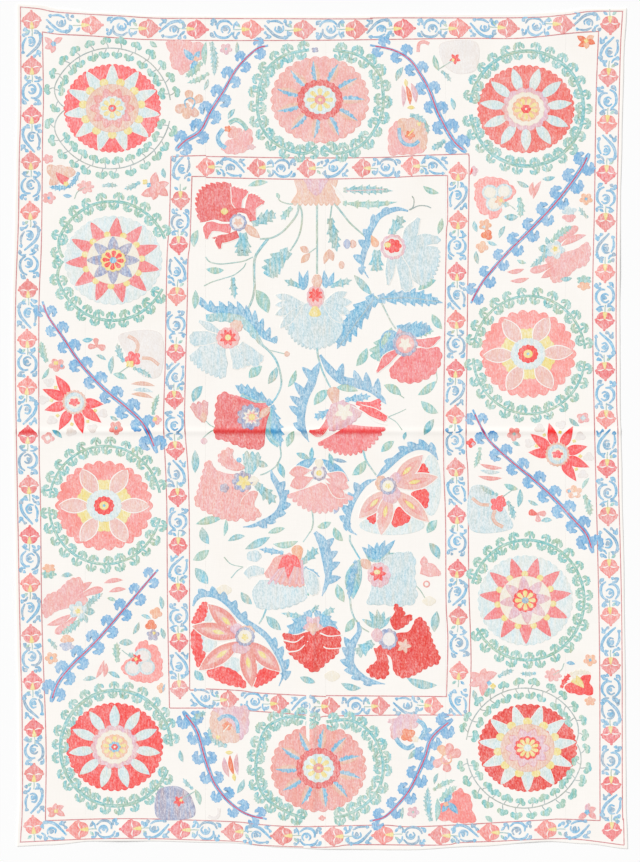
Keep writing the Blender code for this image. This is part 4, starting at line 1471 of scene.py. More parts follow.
def five_petals(dye, centre, tips, width, mark_size, halo=1.0):
    """A flower seen from above: pointed petals with a white edge, a paler middle and a yellow mark."""
    for tip in spots(tips):
        reach = tip - centre
        petal(dye, centre + 0.1 * reach, tip, width, kind="leaf", layer=1.6, halo=halo, tone=0)
        petal("blush" if dye == "five_pink" else "five_pink", centre + 0.3 * reach, centre + 0.84 * reach,
            width * 0.42,
              layer=2.2, tone=0)
        petal("yellow", centre + 0.38 * reach, centre + (0.38 + mark_size) * reach, width * 0.28, layer=2.9,
            kind="leaf")


def right_five():
    button("ice_blue", 0.5, 431, 485, 10, 31)
    button("ice_blue", 0.5, 392, 525, 33, 10)
    five_petals("five_pink", spot(390, 487), ((423, 455), (438, 477), (429, 522), (381, 535), (359, 518)),
        16, 0.26)
    for points in (((411, 473), (422, 464), (428, 471), (426, 475)), ((411, 494), (426, 490), (428, 501),
        (424, 508)),
                   ((398, 507), (410, 519), (393, 526)), ((378, 512), (368, 518), (374, 523))):
        patch("bright_red", lobed(curve(spots(points), 40, closed=True), 9, 1.3, spot(390, 487)), 1)
    button("mauve", 2.6, 391, 494, 10, 10, 5)
    button("mauve", 2.5, 396, 478, 6, 6, 4)
    button("peach", 3, 381, 483, 6, 8, 6)
    button("lilac", 3.4, 388, 486, 9, 9, 12, 0.08)
    button("cream", 3.9, 388, 486, 6)
    star("yellow", 4.3, 388, 486, 3.4, 5, 0.6)


def lower_left_five():
    centre = spot(244.5, 638)
    for points in (((205, 602), (207, 609), (203, 620), (193, 623), (196, 614), (200, 607)),
                   ((193, 630), (201, 637), (202, 650), (205, 655), (199, 667), (195, 656), (192, 645)),
                   ((207, 673), (221, 667), (236, 672), (246, 686), (233, 685), (220, 681)),
                   ((254, 686), (257, 674), (266, 668), (278, 672), (270, 680), (262, 684))):
        patch("bright_red", lobed(curve(spots(points), 60, closed=True), 13, 1.5, centre), 1.2)
    for x, y, radius_x, radius_y in ((208, 616, 5, 7), (208, 643, 9, 9), (233, 665, 9, 8), (259, 667, 6, 7)):
        button("ice_blue", 0.6, x, y, radius_x, radius_y)
    five_petals("rose", centre, ((208, 604), (192, 626), (199, 670), (252, 687), (280, 671)), 17, 0.24)
    button("mauve", 3, 237, 629, 7, 6, 4)
    button("mauve", 2.8, 241, 648, 10, 6, 5)
    button("peach", 3.2, 247, 631, 8, 6, 6)
    button("lilac", 3.6, 245, 636.5, 10, 10, 12, 0.08)
    button("cream", 4.1, 245, 636.5, 7)
    star("yellow", 4.5, 245, 637, 4, 5, 0.6)


for flower in (coral_flower, centre_pink, right_five, lower_left_five):
    flower()
for x, y, radius in ((224, 590, 8), (429, 601, 7), (332, 676, 8)):
    button("cream", 0, x, y, radius, radius * 0.7, 4)
print("the field,", sum(piece.count for piece in threads.values()), "points so far")

# %% [markdown]
# ## Fillers
# Small flowers, buds and leaves fill the grounds between the rosettes. The cloth is planned as two halves
# that match after half a turn, so each group is written once, as pixels right of and below its middle. It
# is stitched at its first place, and turned by half a turn at its second, some parts in another dye.

# %% Groups stitched twice
GROUPS = (  # middle, the twin's middle, then rows of (word, dye or dye/twin's dye, numbers)
    ((53.6, 44), (587, 812), (
        ("petal", "pink", 0, 0, -9, -7, 6), ("petal", "pink", 0, 0, 9, -6, 6), ("petal", "pink", 0, 0, -9,
            4, 6),
        ("petal", "pink/mauve", 0, 0, -2, 9, 6), ("posy", "sky", 0, 0, 3, 3, 5))),
    ((185, 57), (457, 806), (
        ("shape", "pink/coral_pink", 12, ((-19, -13), (-14, -16), (0, -16), (9, -14), (18, -13), (18, -2),
            (14, 3),
                                     (5, 7), (3, 13), (-3, 17), (-6, 14), (-12, 10), (-14, 4), (-15, -6))),
        ("petal", "sky", 11, 4, -1, -8, 7), ("petal", "sky", 10, 4, 15, -6, 6), ("petal", "sky", 12, 2, 5,
            13, 6),
        ("posy", "orange", 11, 2, 3, 3, 4), ("leaf", "leaf_green", 17, 5, 0, 20, 9),
            ("leaf", "leaf_teal", 26, -15, 29, 19, 9),
        ("petal", "leaf_green", 20, 8, 21, -15, 6), ("leaf", "leaf_green", 24, 16, 2, 26, 7),
        ("petal", "leaf_teal", 23, 22, 19, 33, 4), ("petal", "leaf_green", -28, -10, -35, -16, 5))),
    ((190, 104), (446, 758), (
        ("club", "peach/coral", 1, -2, -1, -14, 9), ("club", "peach/coral", -1, 0, -15, 6, 10),
        ("club", "peach/coral", 0, 3, -6, 14, 9), ("club", "peach/orange", 1, 3, 6, 13, 9),
        ("club", "peach/pink", 2, 0, 13, -7, 9), ("line", "sky/orange", 1.6, ((-4, 4), (-5, -3), (1, -6),
            (5, -2), (2, 5))))),
    ((238, 138), (405, 730), (
        ("shape", "pink/mauve", 11, ((12, -9), (14, 2), (10, 11), (0, 15), (-10, 15), (-16, 10), (-8, 2),
            (0, 1), (6, -7))),
        ("posy", "blush/orange_red", -3, -5, 8, 7.5, 4), ("posy", "orange_red/cream", -10, -9, 4, 3.6, 5),
        ("line", "sky", 4.6, ((-15, -9), (-20, -1), (-18, 6), (-12, 10))),
        ("line", "garland_blue/sky", 4.6, ((-9, -15), (-2, -18), (5, -14), (9, -8))),
        ("petal", "leaf_teal", -10, -19, -3, -29, 5), ("posy", "mauve", 13, 9, 5, 3, 5))),
    ((408, 137), (229, 724), (
        ("shape", "pink/mauve", 12, ((-19, -4), (-16, -10), (-10, -15), (0, -8), (10, 4), (18, 11), (10, 16),
                                     (-8, 17), (-18, 17), (-19, 8))),
        ("shape", "peach", 9, ((-10, -16), (6, -18), (15, -15), (19, -12), (18, 6), (16, 12), (6, 6),
            (-4, -4))),
        ("line", "sky", 4.0, ((-9, -9), (-8, 1), (-3, 7), (5, 8), (11, 4))), ("posy", "orange_red", 2, -2,
            5.4, 5, 5),
        ("line", "yellow/cream", 1.6, ((0, -1), (6, -8))), ("posy", "yellow", 11, -13, 2.4, 2.4, 3),
        ("leaf", "leaf_teal", 2, -22, 17, -15, 8), ("leaf", "leaf_teal", 16, -17, 20, -3, 6),
        ("leaf", "leaf_teal", 37, 3, 23, 12, 8))),
    ((409, 96), (231, 764), (
        ("petal", "mauve", -7, -11, -6, 11, 5), ("petal", "mauve", 2, -13, 7, 7, 6),
            ("petal", "orange_red", -3, -11, 1, 9, 5),
        ("petal", "yellow", -4, -17, -3, -9, 4), ("petal", "yellow", -2, 12, 6, 12, 4),
            ("petal", "leaf_teal", -13, -15, -6, -29, 6))),
    ((456, 60), (178, 800), (
        ("shape", "dove/lilac", 0, ((-15, -17), (20, -18), (21, 8), (8, 14), (-4, 12), (-14, 2))),
        ("star", "bright_red", -1, -1, 6), ("posy", "yellow", -3, 0, 2, 2, 4), ("petal", "leaf_green", -17,
            11, -22, -5, 6),
        ("leaf", "leaf_teal", -15, 11, -5, 22, 6), ("line", "stem_green", 1.2, ((-17, 9), (-4, 1))),
        ("petal", "leaf_teal", -5, 38, -2, 50, 5))),
    ((226, 49), (413, 812), (
        ("posy", "mauve", 0, 0, 6.5, 6, 5), ("posy", "leaf_green", 0, 0, 1.6, 1.6, 4),
            ("petal", "leaf_teal", 11, -7, 10, 5, 4))),
    ((424, 47), (213, 813), (("line", "pink/dove", 3.6, ((-6, 5), (-5, -3), (0, -5), (5, -3))),)),
    ((315, 50), (322, 818), (("posy", "lilac/coral", 0, 0, 4, 3, 4),)),
    ((586, 41), (56, 811), (
        ("petal", "orange_red/coral", 2, 0, -9, -5, 6), ("petal", "orange_red/coral", 2, 0, -8, 5, 6),
        ("petal", "orange/coral", 0, 0, 8, -5, 6), ("petal", "orange_red/coral", 0, 0, 9, 3, 6),
        ("petal", "orange/coral", 0, 0, 0, 8, 6), ("posy", "yellow", 0, 0, 2.6, 2.4, 4))),
    ((62, 178), (578, 682), (
        ("shape", "peach/bright_red", 8, ((-15, -11), (-6, -12), (4, -11), (13, -7), (8, -1), (0, 3),
            (-7, 6), (-12, 7), (-11, 0))),
        ("arch", "salmon/yellow", 5, 4, -6, -6, 9), ("leaf", "sky/bright_red", 17, -6, 7, 9, 7),
        ("leaf", "sky/cream", 9, 8, -13, 9, 7), ("posy", "yellow/cream", 4, 6, 3, 3, 5))),
    ((48, 159), (590, 701), (("posy", "pink/orange", 0, 0, 6, 5, 5),)),
    ((85.5, 187), (553, 675), (("posy", "pink", 0, 0, 9, 7, 7), ("line", "stem_green", 1,
        ((-11, 12), (-8, 5), (0, 0))))),
    ((49, 198), (590, 660), (("posy", "pink/orange", 0, 0, 7, 6.5, 5), ("posy", "sky", 0, 0, 2, 2, 4))),
    ((155, 186), (483, 682), (
        ("petal", "coral/pink", 0, 3, 1, -14, 9), ("petal", "coral/pink", 0, 3, 14, -3, 8),
            ("petal", "coral/pink", 0, 2, 13, 10, 9),
        ("petal", "coral/pink", 0, 2, -2, 14, 8), ("petal", "coral/pink", 2, 2, -14, 9, 9),
            ("posy", "coral/pink", 1, 2, 8, 7, 5), ("posy", "yellow", -10, -4, 3, 3, 4),
                ("posy", "sky", -6, -1, 2.6, 2.6, 4),
        ("petal", "leaf_teal", 10, -8, 8, -18, 5))),
    ((110, 187), (528, 672), (
        ("leaf", "leaf_teal", -8, -1, 8, -1, 6), ("leaf", "leaf_teal", 30, -5, 14, 2, 7),
            ("petal", "sky", -38, 9, -47, 8, 4))),
    ((97, 345), (537, 515), (
        ("club", "coral", 0, 1, -9, 1, 6), ("club", "coral", 0, 0, -1, -7, 6), ("club", "coral/warm_red", 0,
            1, 8, 4, 7),
        ("petal", "leaf_teal", -4, -6, -15, -5, 5), ("petal", "leaf_teal", -1, 10, 9, 15, 4))),
    ((57, 365), (574, 492), (
        ("posy", "coral/orange", 0, 0, 8.5, 7, 5), ("posy", "yellow/cotton_white", -1, -2, 3, 2.4, 4),
            ("posy", "sky", 5, 1, 2, 2, 4),
        ("petal", "leaf_green", -8, 3, -15, 14, 4), ("leaf", "leaf_green", -10, -3, -16, -24, 9))),
    ((133, 360), (498, 503), (
        ("shape", "dove/petal_blue", 0, ((-13, -26), (27, -27), (28, 14), (8, 15), (-8, -8))),
        ("posy", "light_red", 0, -1, 8.6, 8.4, 5), ("posy", "yellow/light_red", -3, 4, 4.6, 4.2, 4),
        ("line", "peach", 4, ((-5, -24), (2, -20), (5, -14), (3, -7))), ("line", "peach", 3.6,
            ((9, -2), (18, -1), (26, 5))),
        ("leaf", "leaf_teal", 0, 8, 19, 18, 7), ("leaf", "leaf_teal", -9, 2, -16, -17, 8),
            ("petal", "leaf_teal", -22, 14, -20, -4, 6),
        ("petal", "leaf_green", -20, 14, -6, 19, 6), ("line", "stem_green", 1, ((-4, 6), (-14, 13))))),
    ((143, 391), (490, 471), (
        ("petal", "peach/coral", -12, -7, 12, -5, 4.6), ("petal", "petal_blue", -10, -1, 10, 1, 4.6),
        ("petal", "peach/coral", -12, 3, 10, 7, 4.6), ("leaf", "leaf_green", 10, 24, 16, 3, 7))),
    ((157, 420), (471, 443), (("posy", "pink/bright_red", 0, 0, 5, 5, 4), ("posy", "yellow/mauve", -2, -1,
        2.4, 2.4, 4))),
    ((116, 428), (514, 434), (
        ("posy", "coral", 0, 0, 7.4, 7.4, 5), ("posy", "leaf_teal", 0, 0, 2.2, 2.2, 4),
            ("petal", "leaf_teal", 2, -8, -6, -12, 4))),
    ((48, 438), (583, 418), (
        ("posy", "pink", 0, 0, 7, 6, 4), ("posy", "cotton_white/petal_blue", 0, 0, 3, 3, 4),
            ("petal", "leaf_teal", 4, -8, 14, 0, 5))),
    ((49, 570), (584, 284), (
        ("posy", "garland_blue", 0, 4, 8, 5, 6), ("posy", "orange", 0, -2, 7, 4.6, 5),
            ("petal", "leaf_teal", 12, 6, 24, 5, 5))),
    ((74, 606), (559, 254), (
        ("shape", "pink", 22, ((-16, -15), (-4, -26), (7, -27), (9, -14), (14, -5), (4, 2), (-5, 2),
            (-18, 5), (-28, 11),
                               (-31, 2), (-27, -10)), (8, 6)),
        ("club", "pink", 4, -8, 29, -17, 8), ("petal", "pink", 3, -12, 18, -24, 7),
            ("petal", "pink", -2, 8, -27, 19, 7),
        ("club", "pink", 2, 10, -19, 27, 9), ("leaf", "leaf_teal", 10, 4, 29, -13, 8),
            ("leaf", "leaf_green", 8, 12, -14, 28, 9),
        ("petal", "leaf_teal", 10, 6, 21, 6, 8), ("petal", "leaf_teal", 9, 8, 13, 17, 5),
            ("posy", "petal_blue", 4, 4, 10, 9.5, 5),
        ("posy", "cream", 4, 4.5, 5.6, 5.6, 5), ("posy", "yellow", 4, 5, 3, 3, 5))),
    ((114, 586), (519, 275), (
        ("petal", "pink", -10, -3, 9, -6, 5), ("petal", "pink", -5, 6, 12, 3, 5),
            ("petal", "leaf_green", -7, 12, 2, 15, 4))),
    ((142, 662), (495, 197.5), (
        ("shape", "coral_rose", 19, ((-5, -4), (-6, -12), (-2, -19), (4, -21), (7, -16), (12, -17),
            (16, -12), (18, -6), (20, 0),
                               (19, 8), (20, 13), (14, 18), (7, 20), (-2, 19), (-10, 17), (-14, 13),
                                   (-20, 8), (-18, 2), (-12, -3))),
        ("posy", "petal_blue", -9, 6, 8.4, 8, 0), ("posy", "petal_blue", 5, 5, 8.4, 8, 0),
            ("posy", "petal_blue", 1, -6, 8.6, 8.2, 0),
        ("posy", "dove/cream", -9, 6, 6, 5.7, 0), ("posy", "dove/cream", 5, 5, 6, 5.7, 0),
            ("posy", "dove/cream", 1, -6, 6.2, 6, 0),
        ("star", "bright_red/orange", -5, -3, 6), ("posy", "yellow", -6, -3, 2.2, 2.2, 4),
            ("leaf", "leaf_green", -24, 0, -25, -20, 9),
        ("petal", "leaf_teal", -23, -19, -9, -19, 7), ("posy", "leaf_teal", -11, -7, 3, 3, 5),
        ("line", "stem_green", 1, ((-20, -12), (-15, -8), (-7, -5))))),
    ((101, 669), (536, 190), (
        ("petal", "pink", 3, -9, -5, 9, 5), ("petal", "pink", 5, -6, 3, 8, 5), ("petal", "leaf_teal", 7, 3,
            19, 9, 5))),
    ((155, 620), (483, 240), (
        ("posy", "orange", 1, -7, 6.6, 6.2, 4), ("posy", "orange_red", -4, 5, 6.4, 5.6, 3),
            ("posy", "lilac/orange", -2, 15, 6.8, 6.2, 5),
        ("posy", "yellow/petal_blue", -1, 13, 2, 2, 3), ("petal", "leaf_teal", -14, -5, -4, -1, 4),
            ("petal", "leaf_teal", -16, 2, -22, 14, 5),
        ("petal", "leaf_teal", 6, 8, 9, 19, 5), ("petal", "leaf_teal", 5, -24, 7, -11, 5))),
    ((67, 642), (569, 215), (
        ("posy", "lilac_pale/petal_blue", 0, 4, 8, 5, 4), ("posy", "orange/pink", 0, -3, 7.6, 4.4, 3),
            ("leaf", "leaf_teal", -19, -3, -10, 8, 6))),
    ((51.5, 658), (586, 199), (("posy", "orange", 0, 0, 7, 6.4, 5), ("posy", "sky", 0, 0, 2, 2, 4))),
    ((89, 679), (549, 178), (("petal", "leaf_teal", -6, 1, 7, -1, 5),)),
    ((161, 688), (474, 171), (("posy", "orange/mauve", 0, 0, 4.4, 5.4, 4), ("petal", "sky/bright_red", 2, 4,
        4, -4, 2.4))),
)
STAR_FLOWERS = ((74.5, 402.2), (557.3, 454.3))
STAR_TIPS = ((-19, -27), (-32, -13), (-30, 8), (-15.5, 28), (8.5, 31.5), (27, 20.5), (29, 2))


def stitch(word, dye, numbers, place, layer):
    """One row of a group. place turns its pixels into pattern points."""
    if word == "posy":
        x, y, radius_x, radius_y, lobes = numbers
        shape = rounded(lobes, 0.34, 6, 20, rng.uniform(0, 360) if lobes else 0)
        patch(dye, place((x, y)) + shape.real * radius_x + 1j * shape.imag * radius_y, layer)
    elif word == "star":
        patch(dye, place(numbers[:2]) + numbers[2] * starred(5, 0.5, start=90), layer)
    elif word == "line":
        stem(dye, [place(point) for point in numbers[1]], numbers[0], layer)
    elif word == "shape":
        outline = curve([place(point) for point in numbers[1]], 90, closed=True)
        root = place(numbers[2]) if len(numbers) > 2 else None
        patch(dye, lobed(outline, numbers[0], 1.3, root) if numbers[0] else outline, layer)
    else:
        teeth = max(3, round(math.hypot(numbers[2] - numbers[0],
            numbers[3] - numbers[1]) / 4.5)) if word == "leaf" else 0
        kind = "leaf" if word in ("leaf", "petal") else word
        petal(dye, place(numbers[:2]), place(numbers[2:4]), numbers[4], kind=kind, teeth=teeth, layer=layer,
            bend=0.06)


def star_flower(place):
    """Seven red petals round a scalloped ring, with pale patches and yellow bits between them."""
    for tip, after in zip(STAR_TIPS, STAR_TIPS[1:]):
        between = [(a + b) / 2 for a, b in zip(tip, after)]
        stitch("posy", "dove", (*between, 6, 5, 3), place, 0)
        stitch("posy", "yellow", (*(0.74 * part for part in between), 2.2, 2, 4), place, 0.5)
    for x, y in STAR_TIPS:
        petal("light_red", place((0.3 * x, 0.3 * y)), place((x, y)), 10.5, kind="flame", layer=1)
    for dye, radius, lobes, layer in (("peach", 12.5, 20, 2), ("petal_blue", 10, 0, 2.6),
        ("cream", 6.6, 9, 3.2)):
        patch(dye, place((0, 0)) + radius * rounded(lobes, 0.1, 5, 30), layer)
    stitch("posy", "light_red", (0, 0, 6, 4.4, 5), place, 3.8)


FIRST_LAYER, LAYER_STEP = 0.5, 0.3


def placed(middle, turned):
    """Pattern points from pixels right of and below a middle, turned by half a turn for a twin."""
    sign = -1 if turned else 1
    return lambda point: spot(middle[0] + sign * point[0], middle[1] + sign * point[1])


for first, twin, rows in GROUPS:
    for turned, middle in enumerate((first, twin)):
        for count, (word, dye, *numbers) in enumerate(rows):
            stitch(word, dye.split("/")[turned if "/" in dye else 0], numbers, placed(middle, turned),
                FIRST_LAYER + LAYER_STEP * count)
for turned, middle in enumerate(STAR_FLOWERS):
    star_flower(placed(middle, turned))
print(2 * len(GROUPS) + 2, "groups of fillers")

# %% [markdown]
# ## Joining the threads
# Every pad of one dye becomes one mesh. Its points are set on the cloth here, because only now is the
# height of the ground below each of them asked for. Two attributes go with them: the way the threads run,
# as a map in metres, and a tone for each pad, since no two skeins took the dye alike.

# %% One mesh for each dye
def stitched(dye, work):
    """Points on the cloth: its height plus the pad's own, its thread map, and its tone."""
    plan, height, faces, lines, tones, rims = (np.concatenate(part) for part in work.parts.values())
    x, y = across_cloth(plan), along_cloth(plan)
    made = mesh_object(f"silk_{dye}", np.stack([x, y, cloth_top(x, y) + height], axis=-1), faces)
    made.data.set_sharp_from_angle(angle=math.radians(35))
    corner = faces.ravel()
    uv = made.data.uv_layers.new(name="thread_map")
    uv.data.foreach_set("uv", np.stack([lines.real, lines.imag], axis=-1)[corner].astype(np.float32).ravel())
    for name, values in (("tone", tones), ("rim", rims)):
        made.data.attributes.new(name, "FLOAT", "POINT").data.foreach_set("value", values.astype(np.float32))
    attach(made, "root")
    return made


silks = {dye: stitched(dye, work) for dye, work in threads.items()}
triangles = sorted(((len(made.data.polygons), dye) for dye, made in silks.items()), reverse=True)
print(len(silks), "silk meshes,", sum(count for count, _ in triangles), "triangles, most:", triangles[:4])

# %% [markdown]
# ## Materials
# All silk shares one recipe. Its colour is the dye, made uneven in three sizes: soft clouds where the dye
# took well or badly, streaks along the laid threads, and the small slanting stitches that tie them down.
# It is darker towards each pad's rim, and painted shade darkens it in a band along the cross fold's crease.
# The same threads and stitches drive a fine bump. The cotton is a plain weave with thick and thin yarns.

# %% A small language for nodes
class Wire:
    """A socket in a node tree. Arithmetic on it makes Math nodes."""

    def __init__(self, tree, socket=None):
        self.tree, self.socket = tree, socket

    def node(self, kind, settings=(), inputs=(), output=0):
        """Adds any node, with settings by name and inputs by name or number, and gives one output."""
        made = self.tree.nodes.new("ShaderNode" + kind)
        for name, value in dict(settings).items():
            setattr(made, name, value)
        for name, value in dict(inputs).items():
            if isinstance(value, Wire):
                self.tree.links.new(value.socket, made.inputs[name])
            else:
                made.inputs[name].default_value = value
        return Wire(self.tree, made.outputs[output])

    def math(self, operation, *values):
        return self.node("Math", {"operation": operation}, enumerate(values))

    def __add__(self, other):
        return self.math("ADD", self, other)

    def __radd__(self, other):
        return self.math("ADD", other, self)

    def __sub__(self, other):
        return self.math("SUBTRACT", self, other)

    def __rsub__(self, other):
        return self.math("SUBTRACT", other, self)

    def __mul__(self, other):
        return self.math("MULTIPLY", self, other)

    def __rmul__(self, other):
        return self.math("MULTIPLY", other, self)

    def __truediv__(self, other):
        return self.math("DIVIDE", self, other)

    def vector(self, *values):
        return self.node("CombineXYZ", inputs=enumerate(values))

    def parts(self):
        split = self.node("SeparateXYZ", inputs={0: self}).socket.node
        return [Wire(self.tree, output) for output in split.outputs]

    def noise(self, scale, detail=2.0, roughness=0.5):
        """Soft noise around zero at this point."""
        inputs = {"Vector": self, "Scale": scale, "Detail": detail, "Roughness": roughness}
        return self.node("TexNoise", {"noise_dimensions": "3D"}, inputs) - 0.5

    def mix(self, low, high, blend="MIX"):
        """A colour from low to high, with this value as the share."""
        return self.node("Mix", {"data_type": "RGBA", "blend_type": blend}, {0: self, 6: low, 7: high}, 2)


def linear(red, green, blue):
    """A seen colour, 0 to 255, as light: the sRGB curve undone."""
    seen = np.array((red, green, blue)) / 255
    return (*np.where(seen <= 0.04045, seen / 12.92, ((seen + 0.055) / 1.055) ** 2.4), 1.0)


def new_material(name, colour):
    material = bpy.data.materials.new(name)
    material.use_nodes = True
    material.diffuse_color = colour
    return material, Wire(material.node_tree), material.node_tree.nodes["Principled BSDF"]


def join_to(shader, name, wire):
    wire.tree.links.new(wire.socket, shader.inputs[name])


# %% Dyes
DYES = {  # each thread's colour as seen, 0 to 255, how streaky it is, and how far its hue wanders
    "strong_red": (240, 108, 102, 1.1, 0.1), "bright_red": (251, 116, 113, 1.0, 0.1),
    "warm_red": (246, 143, 136, 1.0, 0.1), "light_red": (254, 134, 135, 1.0, 0.1),
    "salmon": (248, 153, 154, 0.9, 0.1), "field_red": (241, 141, 140, 1.0, 0.1),
    "coral_pink": (252, 168, 163, 0.9, 0.1), "coral_rose": (254, 177, 172, 0.9, 0.1),
    "pink": (247, 195, 192, 0.9, 0.2), "rose": (244, 180, 173, 0.9, 0.2), "blush": (245, 190, 184, 0.9, 0.2),
    "ray_blush": (244, 205, 197, 0.9, 0.3), "ring_rose": (238, 138, 136, 1.2, 0.1),
    "star_pink": (243, 182, 178, 1.0, 0.3), "mauve": (238, 202, 207, 1.1, 0.6), "lilac": (190, 190, 208,
        1.3, 0.8),
    "line_red": (222, 160, 162, 0.8, 0.1), "palmette_rose": (243, 168, 165, 1.1, 0.1),
    "palmette_red": (245, 152, 153, 1.1, 0.1), "palmette_coral": (249, 172, 167, 1.1, 0.1),
    "pale_blue": (225, 236, 234, 1.6, 0.8), "ice_blue": (230, 239, 238, 1.6, 0.8),
    "petal_blue": (219, 232, 234, 1.7, 0.6), "sky": (166, 207, 229, 1.4, 0.5), "arc_blue": (173, 208, 229,
        1.4, 0.4),
    "branch_blue": (157, 198, 230, 1.0, 0.3), "branch_red": (226, 112, 134, 0.9, 0.1),
    "scroll_blue": (168, 207, 231, 1.1, 0.4), "scroll_grey": (172, 200, 219, 1.1, 0.6),
    "garland_teal": (174, 213, 202, 1.3, 0.8), "garland_blue": (178, 214, 207, 1.3, 0.9),
    "garland_sage": (178, 213, 202, 1.3, 0.8), "stem_grey": (190, 200, 196, 0.9, 0.3),
    "leaf_green": (190, 219, 210, 1.3, 0.9), "leaf_teal": (183, 215, 216, 1.4, 1.1),
    "stem_green": (194, 214, 206, 1.0, 0.6), "yellow": (246, 230, 168, 1.0, 0.4),
    "orange": (248, 203, 178, 0.9, 0.3), "peach": (241, 206, 190, 1.0, 0.3), "cream": (247, 240, 226, 0.8,
        0.3),
    "dove": (244, 238, 234, 0.9, 0.2), "cotton_white": (251, 248, 243, 0.4, 0.1),
        "orange_red": (246, 158, 130, 1.0, 0.2),
    "lilac_pale": (202, 208, 226, 1.1, 0.6), "peach_fan": (244, 211, 195, 1.0, 0.3),
    "tulip": (240, 188, 185, 1.0, 0.3), "coral": (246, 188, 183, 1.0, 0.2),
    "five_pink": (246, 208, 201, 0.9, 0.3),
}
WARP_SPACING, COUCH_SPACING = 0.00085, 0.0052
LAID_WIDTH, LAID_LENGTH, FINER_WIDTH, FINER_LENGTH = 0.0042, 0.019, 0.0026, 0.0062
COUCH_WIDTH, COUCH_SLANT, HUE_WIDTH, HUE_LENGTH = 0.0036, 0.012, 0.009, 0.05
MEAN_STRENGTH, LEAST_STRENGTH = 0.97, 0.5
# FOLD_SHADE is painted shade: how much the silk is darkened along the cross fold's crease, in a band
# FOLD_SHADE_WIDTH wide.
FOLD_SHADE, FOLD_SHADE_WIDTH, RIM_SHADE, HUE_SHIFT = 1.25, 0.0068, 0.32, 1.6


def silk(dye):
    """Threads in one dye. Each channel is its colour to a power, so where the dye took well its light
    is filtered again. The power follows streaks, ties, clouds, the pad's tone and its rim, and it adds
    painted shade in a band along the fold's crease."""
    *seen, streaky, wander = DYES[dye]
    colour = linear(*seen)
    material, wire, shader = new_material(f"silk_{dye}", colour)
    place = wire.node("TexCoord", output=3)
    across, run, _ = wire.node("UVMap", {"uv_map": "thread_map"}).parts()
    across = across + place.noise(38.0) * 0.0014
    laid = wire.vector(across / LAID_WIDTH, run / LAID_LENGTH, 0.0).noise(1.0, 2.0)
    finer = wire.vector(across / FINER_WIDTH, run / FINER_LENGTH, 3.7).noise(1.0, 1.0)
    ties = wire.vector(across / COUCH_WIDTH + run / COUCH_SLANT, run / COUCH_SPACING, 1.3).noise(1.0, 1.0)
    clouds = place.noise(24.0, 3.0) * 0.9 + place.noise(5.0, 1.0) * 0.6
    tone = wire.node("Attribute", {"attribute_name": "tone"}, output=2)
    rim = wire.node("Attribute", {"attribute_name": "rim"}, output=2)
    # Painted shade: the silk is darkened in a narrow band along the crease of the cross fold.
    off_fold = (place.parts()[1] - CROSS_CREASE_Y) / FOLD_SHADE_WIDTH
    fold = wire.math("EXPONENT", off_fold * off_fold * -1.0)
    streaks = laid * 1.25 + finer * 1.1
    # The sum mixes the dye's own unevenness with a darkening towards each pad's rim and the painted shade of
    # the fold.
    dye_and_shade = MEAN_STRENGTH + (streaks + ties * 1.1) * streaky + clouds * 0.8 + tone * 0.05
    dye_and_shade = dye_and_shade + rim * RIM_SHADE + fold * FOLD_SHADE
    dye_and_shade = dye_and_shade.math("MAXIMUM", dye_and_shade, LEAST_STRENGTH)
    hue = wire.vector(across / HUE_WIDTH, run / HUE_LENGTH, 8.2).noise(1.0, 1.0) * wander
    powers = (dye_and_shade * (1.0 + hue * HUE_SHIFT), dye_and_shade, dye_and_shade * (1.0 - hue * HUE_SHIFT))
    channels = [wire.math("POWER", value, power) for value, power in zip(colour, powers)]
    join_to(shader, "Base Color", wire.vector(*channels))
    turns = across * (2 * math.pi / WARP_SPACING)
    height = wire.math("SINE", turns) * 0.00004 + streaks * 0.00012 + ties * 0.00022
    join_to(shader, "Normal", wire.node("Bump", inputs={"Strength": 0.6, "Distance": 1.0, "Height": height}))
    shader.inputs["Roughness"].default_value = 0.62
    shader.inputs["Specular IOR Level"].default_value = 0.22
    shader.inputs["Sheen Weight"].default_value = 0.08
    shader.inputs["Sheen Roughness"].default_value = 0.4
    return material


for dye, made in silks.items():
    made.data.materials.append(silk(dye))
print(len(silks), "silk materials")

# %% Cotton
COTTON = (253, 249, 244)


def cotton(number):
    material, wire, shader = new_material(f"cotton_{number}", linear(*COTTON))
    place = wire.node("TexCoord", output=3)
    x, y, _ = place.parts()
    warp = wire.vector(x / 0.0016, y / 0.060, float(number))
    weft = wire.vector(x / 0.050, y / 0.0018, float(number))
    slubs = warp.noise(1.0, 1.0) * 0.5 + weft.noise(1.0, 1.0) * 0.5
    clouds = place.noise(5.0, 3.0)
    level = 1.0 + slubs * 0.09 + clouds * 0.03
    stained = (place.noise(9.0, 2.0) * 0.5 + clouds + 0.12).math("MAXIMUM", place.noise(9.0,
        2.0) * 0.5 + clouds, 0.0)
    tinted = stained.mix(linear(*COTTON), linear(244, 236, 226))
    lit = wire.node("VectorMath", {"operation": "SCALE"}, {0: tinted, "Scale": level})
    join_to(shader, "Base Color", lit)
    bump = wire.node("Bump", inputs={"Strength": 0.4, "Distance": 1.0, "Height": slubs * 0.0005})
    join_to(shader, "Normal", bump)
    shader.inputs["Roughness"].default_value = 0.92
    shader.inputs["Specular IOR Level"].default_value = 0.12
    shader.inputs["Sheen Weight"].default_value = 0.05
    return material


for number, strip in enumerate(strips, 1):
    strip.data.materials.append(cotton(number))

# %% [markdown]
# ## The floor
# Each strip lies on a pale floor. The loop below only reads each strip's size.

# %% Floor and sheets
FLOOR_SIZE = 14.0


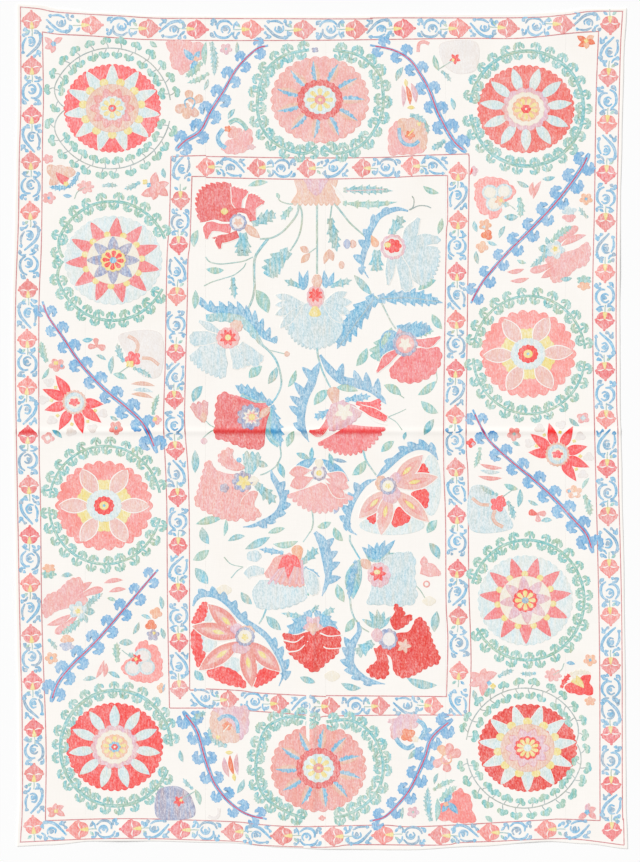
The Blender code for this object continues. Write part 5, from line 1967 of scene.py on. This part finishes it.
def ground():
    corner = FLOOR_SIZE / 2
    points = np.array([(-corner, -corner, 0), (corner, -corner, 0), (corner, corner, 0),
        (-corner, corner, 0)])
    floor = mesh_object("floor", points - np.array((0, 0, 0.0002)), np.array([[0, 1, 2, 3]]))
    material, _, shader = new_material("floor", (0.98, 0.98, 0.98, 1.0))
    shader.inputs["Base Color"].default_value = (0.98, 0.98, 0.98, 1.0)
    shader.inputs["Roughness"].default_value = 0.9
    shader.inputs["Specular IOR Level"].default_value = 0.0
    floor.data.materials.append(material)
    floor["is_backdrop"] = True
    return floor


floor = ground()
for strip in strips:
    width, length = strip.dimensions.x, strip.dimensions.y

# %% [markdown]
# ## Light and camera
# The cloth is seen from straight above through a long lens. An even pale sky fills the shadows, and one
# broad light from the upper left gives the folds and the raised silk their slight shading.

# %% Studio
PICTURE_WIDTH, PICTURE_HEIGHT = 640, 862
CAMERA_HEIGHT = 6.0
SKY_SHARE, SUN_SHARE, SUN_TILT, SUN_TURN, SUN_SIZE = 0.575, 0.42, 52, 40, 14

world = bpy.data.worlds.new("studio")
world.use_nodes = True
world.node_tree.nodes["Background"].inputs["Color"].default_value = (1.0, 1.0, 1.0, 1.0)
world.node_tree.nodes["Background"].inputs["Strength"].default_value = SKY_SHARE
bpy.context.scene.world = world

sun_data = bpy.data.lights.new("sun", "SUN")
sun_data.energy = SUN_SHARE * math.pi / math.cos(math.radians(SUN_TILT))
sun_data.angle = math.radians(SUN_SIZE)
sun = bpy.data.objects.new("sun", sun_data)
sun.rotation_euler = (0, -math.radians(SUN_TILT), -math.radians(SUN_TURN))
sun.location = (-3, 3, 4)
bpy.context.scene.collection.objects.link(sun)

camera_data = bpy.data.cameras.new("camera")
camera_data.type = "PERSP"
camera_data.sensor_fit = "VERTICAL"
camera_data.sensor_height = 36.0
camera_data.lens = 36.0 * CAMERA_HEIGHT / (PICTURE_HEIGHT * PIXEL)
camera_data.clip_end = 40.0
camera = bpy.data.objects.new("camera", camera_data)
middle = spot(PICTURE_WIDTH / 2, PICTURE_HEIGHT / 2)
camera.location = (across_cloth(middle), along_cloth(middle), CAMERA_HEIGHT)
bpy.context.scene.collection.objects.link(camera)
bpy.context.scene.camera = camera
bpy.context.scene.view_settings.view_transform = "Standard"
